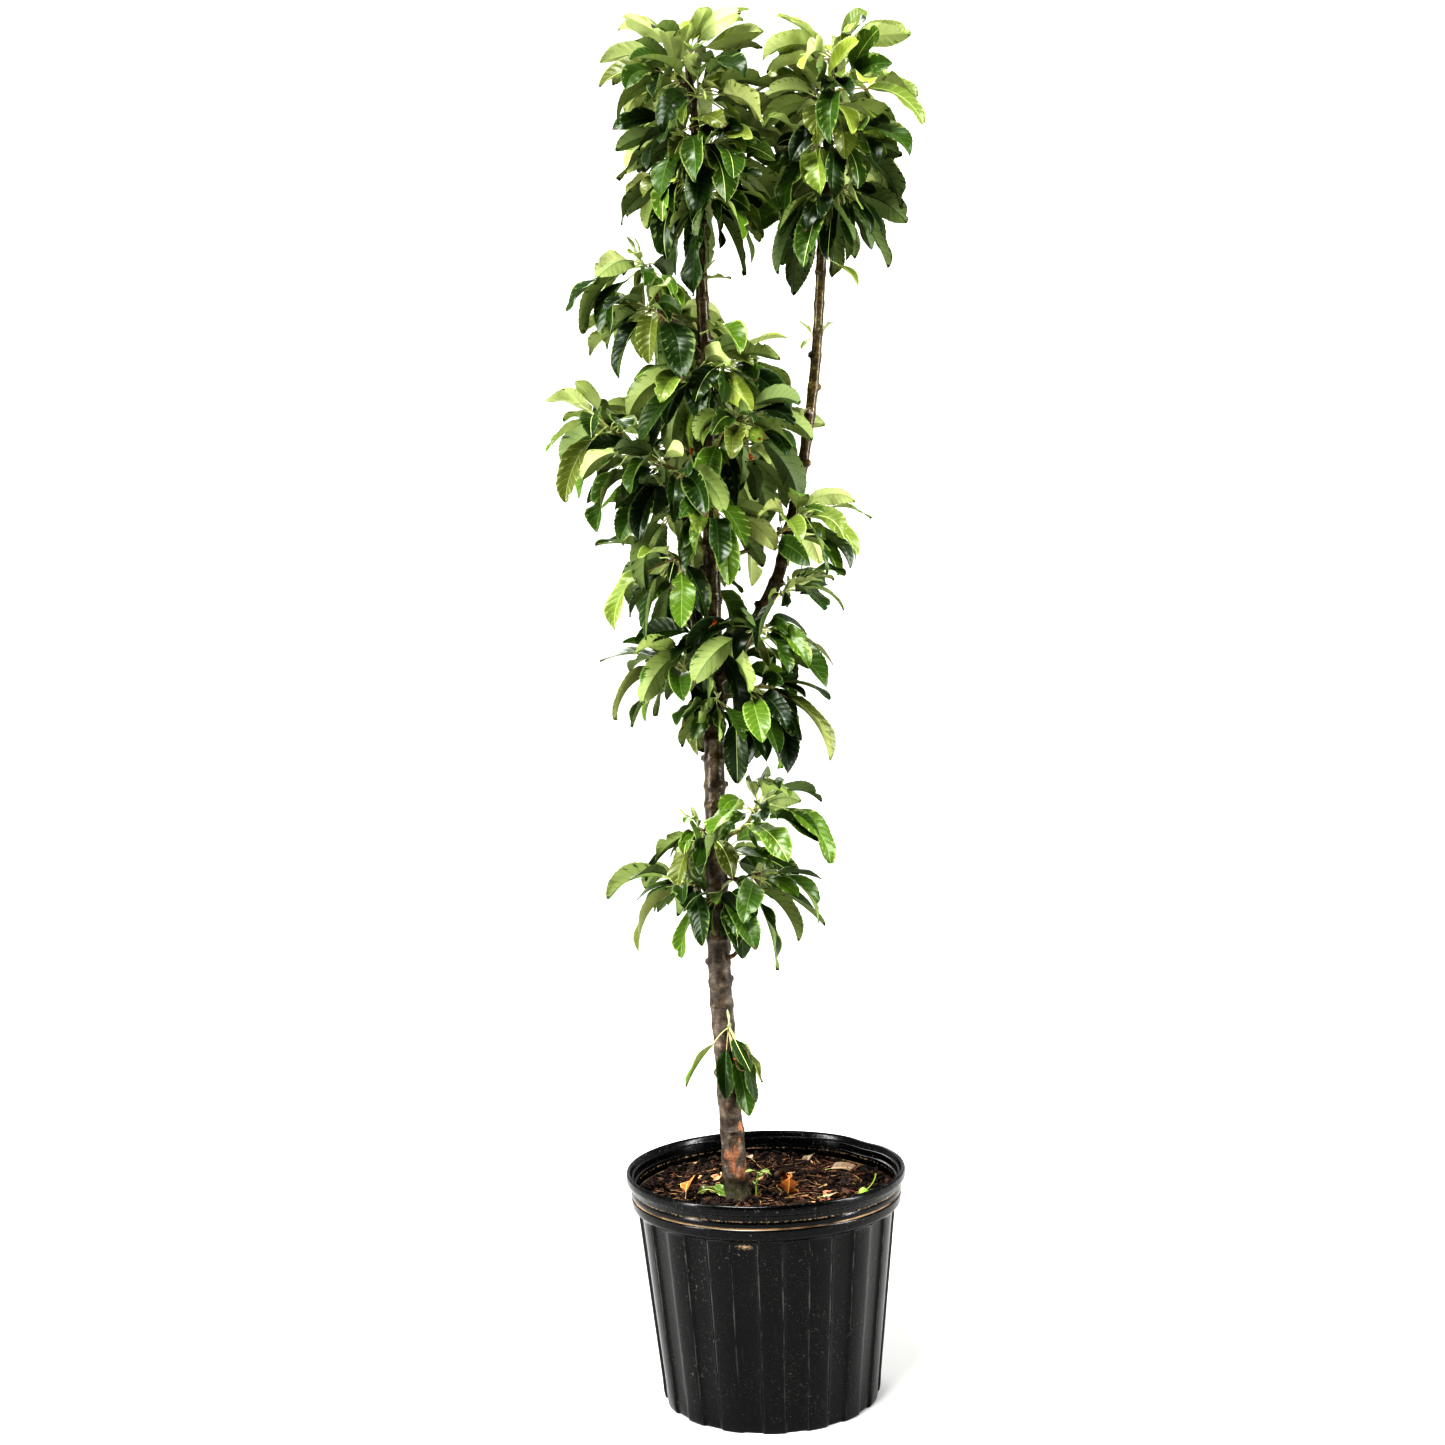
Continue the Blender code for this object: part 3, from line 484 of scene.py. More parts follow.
def makeBed():
    rings, columns = mix["rings"], mix["columns"]
    radii = np.linspace(0.004, mix["edge"], rings)[:, None]
    turn = np.linspace(0, math.tau, columns, endpoint=False)[None, :]
    x, y = radii * np.cos(turn), radii * np.sin(turn)
    grain = np.array([sum(share * noise.noise(Vector((a / width, b / width, layer)))
                          for width, layer, share in mix["grains"])
                      for a, b in zip(x.ravel(), y.ravel())]).reshape(x.shape)
    z = mixHeight(x, y) - mix["sunk"] + mix["grainRise"] * grain
    top = np.stack([x, y, z], 2)
    under = top[-1:] * (1, 1, 0) + (0, 0, mix["underside"])
    shell = np.concatenate([top, under * (0.995, 0.995, 1)])
    heap = Heap()
    heap.add(shell.reshape(-1, 3), [(rows[:, ::-1], finish) for rows, finish in wrap(rings + 1, columns)])
    obj = addPiece("compostBed", heap, [compostFinish()])
    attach(obj, "root")
    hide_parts("potting_mix")


def layDown(points, place, azimuth, pitch, roll):
    turn = Matrix.Rotation(azimuth, 3, "Z") @ Matrix.Rotation(pitch, 3, "Y") @ Matrix.Rotation(roll, 3, "X")
    return points @ np.array(turn).T + np.array(place)


def chipShape(length, width, depth, rng):
    # a shard: two uneven six-cornered faces with tapering ends
    corners = np.array([(-0.5, 0.0), (-0.3, 0.45), (0.25, 0.5), (0.5, 0.1), (0.3, -0.45), (-0.25, -0.5)])
    rings = []
    for level, pull in ((-0.5, 0.86), (0.5, 1.0)):
        jitter = np.array([(rng.uniform(-0.13, 0.13), rng.uniform(-0.16, 0.16), rng.uniform(-0.3, 0.3))
                           for _ in corners])
        ring = np.concatenate([corners * pull, np.full((6, 1), level)], 1) + jitter
        rings.append(ring * (length, width, depth))
    return np.concatenate(rings), wrap(2, 6)


def scatterPlace(rng, reach):
    while True:
        x, y = rng.uniform(-reach, reach), rng.uniform(-reach, reach)
        fromFoot = math.hypot(x - footPlace.x, y - footPlace.y)
        if math.hypot(x, y) < reach and fromFoot > mix["footClear"]:
            return x, y


def makeMulch():
    rng = random.Random(11)
    heap = Heap()
    shortest, spread, rarity = mix["chipLength"]
    levelAt, easing = mix["tiltRoom"]   # chips lie flatter towards the lip
    for _ in range(mix["chips"]):
        x, y = scatterPlace(rng, mix["reach"])
        length = shortest + spread * rng.random() ** rarity
        width = length * rng.uniform(*mix["chipWidth"])
        depth = min(mix["thickest"], length * rng.uniform(*mix["chipDepth"]))
        points, faces = chipShape(length, width, depth, rng)
        room = levelAt - math.hypot(x, y)
        pitch = rng.gauss(0, mix["tilt"]) * min(1.0, room / easing)
        lie = mixHeight(x, y) + depth * 0.3 + abs(math.sin(pitch)) * length * 0.28
        points = layDown(points, (x, y, float(lie)), rng.uniform(0, math.tau), pitch, rng.gauss(0, 0.3))
        if np.hypot(points[:, 0], points[:, 1]).max() > mix["lip"]:
            continue
        shade = rng.randrange(len(mix["shades"]))
        heap.add(points, faces, shade)
    # composted pine bark, shredded: matt and fibrous, so each chip has its own browns
    finishes = [mottledFinish(f"pine_bark_{i + 1}", shades, 0.88, 0.0025)
                for i, shades in enumerate(mix["shades"])]
    obj = addPiece("barkMulch", heap, finishes, smooth=False)
    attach(obj, "root")


def makeStraws():
    rng = random.Random(23)
    heap = Heap()
    for _ in range(mix["straws"]):
        x, y = scatterPlace(rng, mix["strawReach"][0])
        length, azimuth = rng.uniform(*mix["strawLength"]), rng.uniform(0, 360)
        way = heading(azimuth, 0) * length / 2
        ends = []
        for end in (Vector((x, y, 0)) - way, Vector((x, y, 0)) + way):
            ends.append(onMix(end.x, end.y, rng.uniform(*mix["strawRise"])))
        middle = ends[0].lerp(ends[1], 0.5)
        if min((p.xy - footPlace.xy).length for p in (*ends, middle)) < mix["strawClear"]:
            continue
        if max(p.xy.length for p in ends) > mix["strawReach"][1]:
            continue
        aside = heading(azimuth + 90, 20) * rng.uniform(-0.15, 0.15) * length
        radius = rng.uniform(*mix["strawRadius"])
        points, faces = tube(bowed(*ends, aside, 6), [radius] * 5 + [radius * 0.5], 5)
        shade = rng.choice((0, 0, 1, 2, 2))
        heap.add(points, faces, shade)
    for _ in range(mix["palePieces"]):
        # paler splinters of split wood, most of them beside the trunk and by the front of the lip
        near = rng.random()
        x, y = scatterPlace(rng, mix["paleReach"])
        for below, (middleX, spreadX), (middleY, spreadY) in mix["paleHeaps"]:
            if near < below:
                x, y = middleX + rng.gauss(0, spreadX), middleY + rng.gauss(0, spreadY)
                break
        length = rng.uniform(*mix["paleLength"])
        points, faces = chipShape(length, length * rng.uniform(0.25, 0.5), mix["paleDepth"], rng)
        lie = float(mixHeight(x, y)) + 0.0022
        points = layDown(points, (x, y, lie), rng.uniform(0, math.tau), rng.gauss(0, 0.2), rng.gauss(0, 0.2))
        if np.hypot(points[:, 0], points[:, 1]).max() < mix["lip"]:
            shade = rng.choice((3, 4, 5))
            heap.add(points, faces, shade)
    # dry stalks, and splinters of pale split wood
    finishes = [mottledFinish("dry_stalk", ("#A6865F", "#70563C"), 0.8, 0.004),
                mottledFinish("brown_stalk", ("#7C4E38", "#4C3022"), 0.85, 0.004),
                mottledFinish("dark_stalk", ("#3E291D", "#261811"), 0.85, 0.004)]
    finishes += [mottledFinish(f"split_wood_{i + 1}", shades, 0.82, 0.003)
                 for i, shades in enumerate(mix["paleShades"])]
    obj = addPiece("stalksAndSplinters", heap, finishes, smooth=False)
    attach(obj, "root")


makeBed()
makeMulch()
makeStraws()
print("potting mix laid")


Limb = namedtuple("Limb", "name knots widths rings piece step around")

limbs = {
    "trunk": Limb(
        "trunk",
        (footPlace, (-0.0385, -0.031, 0.360), (-0.0440, -0.030, 0.500), (-0.0425, -0.029, 0.680),
         (-0.0385, -0.027, 0.900), (-0.0375, -0.026, 1.080), (-0.0405, -0.024, 1.270),
         (-0.0415, -0.022, 1.390), (-0.0475, -0.021, 1.450)),
        ((0.230, 0.0325), (0.240, 0.0280), (0.300, 0.0248), (0.500, 0.0240), (0.680, 0.0215),
         (0.900, 0.0185), (1.040, 0.0156), (1.200, 0.0128), (1.280, 0.0120), (1.360, 0.0088),
         (1.450, 0.0052)),
        17, "trunkBark", 0.0013, 60),
    "right_bough": Limb(
        "right_bough",
        ((-0.040, -0.027, 0.790), (-0.010, -0.028, 0.828), (0.030, -0.028, 0.898),
         (0.043, -0.027, 0.944), (0.061, -0.026, 1.013), (0.079, -0.024, 1.125),
         (0.0895, -0.022, 1.244), (0.0985, -0.021, 1.345), (0.1075, -0.020, 1.446)),
        ((0.790, 0.0155), (0.900, 0.0134), (0.960, 0.0115), (1.130, 0.0108), (1.250, 0.0104),
         (1.330, 0.0084), (1.446, 0.0050)),
        16, "rightBoughBark", 0.0013, 40),
    "left_shoot": Limb(
        "left_shoot",
        ((-0.042, -0.030, 0.800), (-0.056, -0.046, 0.836), (-0.0635, -0.050, 0.895),
         (-0.0650, -0.050, 0.968)),
        ((0.800, 0.0074), (0.900, 0.0076), (0.968, 0.0054)),
        7, "leftShootBark", 0.0012, 28),
    "mid_left_branch": Limb(
        "mid_left_branch",
        ((-0.038, -0.026, 1.136), (-0.0565, -0.030, 1.158), (-0.0775, -0.034, 1.182),
         (-0.0885, -0.035, 1.206), (-0.0930, -0.034, 1.228)),
        ((1.136, 0.0080), (1.180, 0.0064), (1.206, 0.0050), (1.228, 0.0040)),
        8, "midLeftBark", 0.0012, 28),
}

bark = {
    "nodeSpacing": (0.020, 0.034),   # from one leaf scar to the next up a stem
    "scarHeight": 0.0037, "spiral": 137.5, "spiralPlay": 12,
    "lenticelRise": 0.00035,
    "lenticels": 1200,               # a metre of stem
    "buried": 0.003,                 # the bark goes on down under the mulch
    "collars": (0.0034, 0.0042),     # round the foot of a short spur and of a long one
    "oldUpTo": (0.30, 0.75),
    # cracks low down and fine wrinkles: how wide and tall, and how far they rise
    "cracks": (0.0024, 0.011), "crackRise": 0.00036, "wrinkles": (0.010, 0.0016), "wrinkleRise": 0.00022,
    "lumps": 0.016, "lumpRise": 0.045,   # a share of the stem's radius
    "mossUpTo": (0.232, 0.262),
    # old bud rings and pruning knots on the trunk: height, azimuth, metres proud, metres across
    "knots": ((0.345, 150, 0.0018, 0.007), (0.414, 285, 0.0026, 0.007), (0.505, 340, 0.0022, 0.008),
              (0.548, 215, 0.0026, 0.008), (0.470, 60, 0.0018, 0.007), (0.623, 350, 0.0020, 0.008),
              (0.655, 300, 0.0018, 0.006), (0.700, 140, 0.0020, 0.007), (0.742, 30, 0.0018, 0.006),
              (0.940, 200, 0.0016, 0.006), (1.096, 250, 0.0018, 0.007), (0.300, 330, 0.0014, 0.006)),
    "yearRings": (0.302, 0.466, 0.610, 0.880, 1.135, 1.300),
    # where the outer bark has rubbed off: height, azimuth, half height, half width in degrees, how bare
    "rubbed": ((0.309, 318, 0.0065, 17, 1.0), (0.297, 306, 0.005, 14, 0.8), (0.272, 262, 0.010, 17, 0.5),
               (0.259, 296, 0.008, 24, 0.6), (0.281, 232, 0.006, 14, 0.4), (0.266, 335, 0.007, 16, 0.6),
               (0.284, 284, 0.008, 13, 0.45), (0.330, 255, 0.006, 9, 0.3)),
}


def barkFinish():
    # apple bark: grey-brown and matt low down, olive and smooth with a soft shine on the young wood
    made, tree, shader, where = patternedFinish("apple_bark", "#5A4838", 0.7)
    height = addNode(tree, "SeparateXYZ", inputs={"Vector": where}).outputs["Z"]
    relief = addNode(tree, "Attribute", {"attribute_name": "relief"}).outputs["Fac"]
    rubbed = addNode(tree, "Attribute", {"attribute_name": "rubbed"}).outputs["Fac"]
    mossy = addNode(tree, "Attribute", {"attribute_name": "mossy"}).outputs["Fac"]
    # mottling 12 mm across, and 1.5 mm grain
    mottle = addNode(tree, "TexNoise",
                     inputs={"Vector": where, "Scale": 1 / 0.012, "Detail": 5.0, "Roughness": 0.6})
    grain = addNode(tree, "TexNoise", inputs={"Vector": where, "Scale": 1 / 0.0015, "Detail": 3.0})
    old = addNode(tree, "ValToRGB", inputs={"Fac": mottle},
                  stops=((0.30, "#322A21"), (0.44, "#52473B"), (0.56, "#6E6255"), (0.68, "#918576")))
    young = addNode(tree, "ValToRGB", inputs={"Fac": mottle},
                    stops=((0.32, "#302717"), (0.52, "#5C4F30"), (0.70, "#7D7249")))
    age = addNode(tree, "MapRange", inputs={"Value": height, "From Min": 0.42, "From Max": 0.95})
    base = addNode(tree, "Mix", colours, {"Factor": age, 6: old, 7: young})
    grained = addNode(tree, "Mix", {**colours, "blend_type": "MULTIPLY"},
                      {"Factor": 0.45, 6: base,
                       7: addNode(tree, "ValToRGB", inputs={"Fac": grain},
                                  stops=((0.3, "#8A8078"), (0.6, "#FFFFFF"))).outputs[0]})
    # painted shade: crevices, under each scar ledge, knot pits, ring grooves and spur collars darker and
    # ridges lighter; lenticels and scar edges pale
    reliefShadeRamp = addNode(tree, "ValToRGB", inputs={"Fac": relief},
                       stops=((0.25, "#2A211A"), (0.5, "#808080"), (0.80, "#CDC3AE")))
    markedAndShaded = addNode(tree, "Mix", {**colours, "blend_type": "OVERLAY"},
                     {"Factor": 0.6, 6: grained, 7: reliefShadeRamp})
    bare = addNode(tree, "ValToRGB", inputs={"Fac": grain}, stops=((0.3, "#8E5638"), (0.7, "#BC845F")))
    peeled = addNode(tree, "Mix", colours, {"Factor": rubbed, 6: markedAndShaded, 7: bare})
    green = addNode(tree, "ValToRGB", inputs={"Fac": grain}, stops=((0.3, "#1E2413"), (0.7, "#4C5230")))
    grown = addNode(tree, "Mix", colours, {"Factor": mossy, 6: peeled, 7: green})
    shine = addNode(tree, "MapRange", inputs={
        "Value": height, "From Min": 0.34, "From Max": 0.75, "To Min": 0.60, "To Max": 0.27})
    raised = addNode(tree, "Bump", inputs={"Height": grain, "Strength": 0.5, "Distance": 0.0005})
    feed(shader, {"Base Color": grown, "Roughness": shine, "Normal": raised})
    return made


def limbGrid(limb):
    # the limb's centre line, the ways outward from it, its radius and the distance along it
    knots = [Vector(knot) for knot in limb.knots]
    if limb.name == "trunk":
        knots[0] = knots[0] - Vector((0, 0, bark["buried"]))
    length = sum((b - a).length for a, b in zip(knots, knots[1:]))
    route = routeThrough(knots, int(length / limb.step))
    ways = tangents(route)
    across = ways[0].orthogonal().normalized()
    centres, sideways, upwards = [], [], []
    for point, way in zip(route, ways):
        across = (across - way * across.dot(way)).normalized()
        centres.append(point)
        sideways.append(across.copy())
        upwards.append(way.cross(across))
    centres, sideways, upwards = (np.array(values) for values in (centres, sideways, upwards))
    turn = np.linspace(0, math.tau, limb.around, endpoint=False)[None, :, None]
    outward = sideways[:, None] * np.cos(turn) + upwards[:, None] * np.sin(turn)
    radius = np.array([interpolate(limb.widths, z) / 2 for z in centres[:, 2]])
    along = np.concatenate([[0], np.cumsum(np.linalg.norm(np.diff(centres, axis=0), axis=1))])
    return centres, outward, radius, along


def barkRelief(limb, centres, outward, radius, along, feet):
    # how far the bark stands proud, and a colour mark that follows it: pale lenticels and scar edges, with
    # painted shade in the crevices, under ledges and round spur feet, and the ridges lighter
    rng = random.Random(limb.name)
    height = centres[:, 2][:, None] + 0 * outward[..., 2]
    azimuth = np.degrees(np.arctan2(outward[..., 1], outward[..., 0]))
    walk = along[:, None] + 0 * azimuth
    girth = radius[:, None] + 0 * azimuth
    surface = centres[:, None] + outward * radius[:, None, None]
    flat = surface.reshape(-1, 3)

    def noiseOf(wide, tall):
        values = [noise.noise(Vector((x / wide, y / wide, z / tall))) for x, y, z in flat]
        return np.array(values).reshape(azimuth.shape)

    cracks, wrinkles = noiseOf(*bark["cracks"]), noiseOf(*bark["wrinkles"])
    lumps = np.array([noise.noise(Vector(point) / bark["lumps"]) for point in flat]).reshape(azimuth.shape)
    oldness = 1 - smoothStep(*bark["oldUpTo"], height)
    rise = bark["lumpRise"] * girth * lumps + bark["crackRise"] * oldness * cracks
    rise = rise + bark["wrinkleRise"] * (0.4 + 0.6 * oldness) * wrinkles
    # painted shade: the crevices darker and the ridges lighter
    markAndShade = 0.5 + 0.16 * oldness * cracks + 0.12 * (0.3 + 0.7 * oldness) * wrinkles

    def raisedAt(z, turn, tall, wide, proud):
        # wide is in metres round the stem
        away = ((azimuth - turn + 180) % 360 - 180) * math.pi / 180 * girth
        return proud * bump((walk - z) / tall) * bump(away / wide)

    def walkOf(z):
        return np.interp(z, centres[:, 2], along)

    # leaf scars climb the stem by the golden angle, each a ledge with a bud over it
    at, turn = rng.uniform(0.01, 0.03), rng.uniform(0, 360)
    while at < along[-1]:
        size = float(np.interp(at, along, radius)) / 0.009
        size = min(1.25, 0.6 + 0.4 * size)
        old = float(np.interp(at, along, oldness[:, 0]))
        proud = bark["scarHeight"] * size * (1 - 0.55 * old)
        rise += 0.15 * girth * bump((walk - at) / 0.0045) * (1 - 0.6 * old)
        rise += raisedAt(at, turn, 0.0016, 0.0034 * size, proud)
        rise += raisedAt(at + 0.0032, turn, 0.0017, 0.0018 * size, proud * 1.1)
        markAndShade += 0.28 * raisedAt(at, turn, 0.0009, 0.0030, 1)
        # painted shade under the scar's ledge
        markAndShade -= 0.34 * raisedAt(at - 0.0016, turn, 0.0010, 0.0034, 1)
        at += rng.uniform(*bark["nodeSpacing"])
        turn += bark["spiral"] + rng.uniform(-bark["spiralPlay"], bark["spiralPlay"])
    # lenticels: short raised dashes across the stem
    for _ in range(int(bark["lenticels"] * along[-1])):
        at, turn = rng.uniform(0, along[-1]), rng.uniform(-180, 180)
        row = int(np.searchsorted(along, at))
        low, high = max(0, row - 3), row + 4
        tall, wide = rng.uniform(0.0004, 0.0007), rng.uniform(0.0008, 0.0022)
        away = ((azimuth[low:high] - turn + 180) % 360 - 180) * math.pi / 180 * girth[low:high]
        dash = bump((walk[low:high] - at) / tall) * bump(away / wide)
        rise[low:high] += bark["lenticelRise"] * dash
        markAndShade[low:high] += 0.42 * dash
    rubbed, mossy = np.zeros_like(azimuth), np.zeros_like(azimuth)
    if limb.name == "trunk":
        for z, turn, proud, wide in bark["knots"]:
            rise += raisedAt(walkOf(z), turn, wide * 0.7, wide, proud)
            rise -= raisedAt(walkOf(z), turn, wide * 0.25, wide * 0.3, proud * 0.5)
            # painted shade in the knot's pit
            markAndShade -= raisedAt(walkOf(z), turn, wide * 0.3, wide * 0.35, 0.3)
        for z in bark["yearRings"]:
            for offset in (-0.0030, 0.0, 0.0030):
                rise += 0.0006 * bump((walk - walkOf(z) - offset - 0.0012 * lumps) / 0.0008)
            # painted shade in the groove between the ring ridges
            markAndShade -= 0.20 * bump((walk - walkOf(z) - 0.0015) / 0.0010)
        ragged = np.maximum(0.2, 1 + 1.3 * lumps + 1.0 * cracks)
        for z, turn, tall, wide, bare in bark["rubbed"]:
            away = (azimuth - turn + 180) % 360 - 180
            reach = np.hypot((height - z) / tall, away / wide)
            patch = bare * (1 - smoothStep(0.70, 1.10, reach / ragged)) * (0.75 + 0.5 * cracks)
            rubbed = np.maximum(rubbed, patch)
        mossy = 1 - smoothStep(*bark["mossUpTo"], height + 0.012 * lumps)
        mossy = mossy * (0.55 + 0.45 * np.clip(cracks * 3, -1, 1))
        mossy *= 1 - 0.5 * bump((height - 0.2345) / 0.002)
    rise -= 0.0005 * rubbed
    # a collar swells the bark round the foot of each spur
    for foot, size in feet:
        away = np.linalg.norm(surface - np.array(foot), axis=2)
        rise += size * 0.45 * bump(away / (size * 1.6))
        # painted shade round the spur's foot
        markAndShade -= 0.18 * bump(away / (size * 1.3))
    return rise, np.clip(markAndShade, 0, 1), np.clip(rubbed, 0, 1), np.clip(mossy, 0, 1)


def makeBark(limb, feet, finish):
    centres, outward, radius, along = limbGrid(limb)
    rise, markAndShade, rubbed, mossy = barkRelief(limb, centres, outward, radius, along, feet)
    points = centres[:, None] + outward * (radius[:, None] + rise)[..., None]
    heap = Heap()
    heap.add(points.reshape(-1, 3), wrap(len(centres), limb.around))
    obj = addPiece(limb.piece, heap, [finish])
    for name, values in (("relief", markAndShade), ("rubbed", rubbed), ("mossy", mossy)):
        layer = obj.data.attributes.new(name, "FLOAT", "POINT")
        layer.data.foreach_set("value", values.astype(np.float32).ravel())
    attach(obj, "root")
    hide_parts(limb.name)


growth = {
    "clearance": 0.0003,
    "bladeLength": (0.056, 0.078), "bladeWidth": (0.39, 0.46), "stalk": (0.32, 0.48),
    "footSize": 1.06, "topSize": 0.84, "stalkRadius": 0.0008,
    "archedStations": ((0.30, 0.94), (0.70, 0.86)), "flatStations": ((0.44, 1.00),),
    "archedFall": 44, "keel": 0.022, "bladeSteps": 12,
    "roll": 42, "swerve": 30, "lift": 14, "fall": (0.6, 1.4), "fan": 0.06,
    "golden": (math.sqrt(5) - 1) / 2,
    "stemRadius": 0.0021, "longStem": 0.045, "longGirth": 1.3, "tipRadius": 0.0013,
    "stemPoints": 5, "stemSides": 4, "bend": 1.5, "wander": 6,
    "twigShare": 0.62, "twigRise": 0.8, "splay": 48, "splayShare": (0.8, 1.2),
    "leafZone": (0.30, 0.94), "room": 0.0005, "tries": 14, "freeStalk": 0.45,
    "fruiting": "centre_fruit", "fruitRadius": 0.0088, "fruitStalk": 0.016,
}
fruitWay = Vector((0.35, -0.55, -0.75)).normalized()

Habit = namedtuple("Habit", "liftLow liftHigh fall size")
# inner leaves: how many smaller leaves grow among the first ones, and their own seed
Spur = namedtuple("Spur", "name host height azimuth stem rise leaves fan twigs habit seed inner innerSeed")
Leaf = namedtuple("Leaf", "root azimuth lift stalk length width fall roll swerve")

habits = {
    "crest": Habit(2, 50, 42, 0.96),
    "arching": Habit(-12, 44, 62, 1.00),
    "drooping": Habit(-38, 28, 56, 1.00),
    "hanging": Habit(-58, 6, 40, 1.02),
    "limp": Habit(-80, -35, 16, 0.86),
}

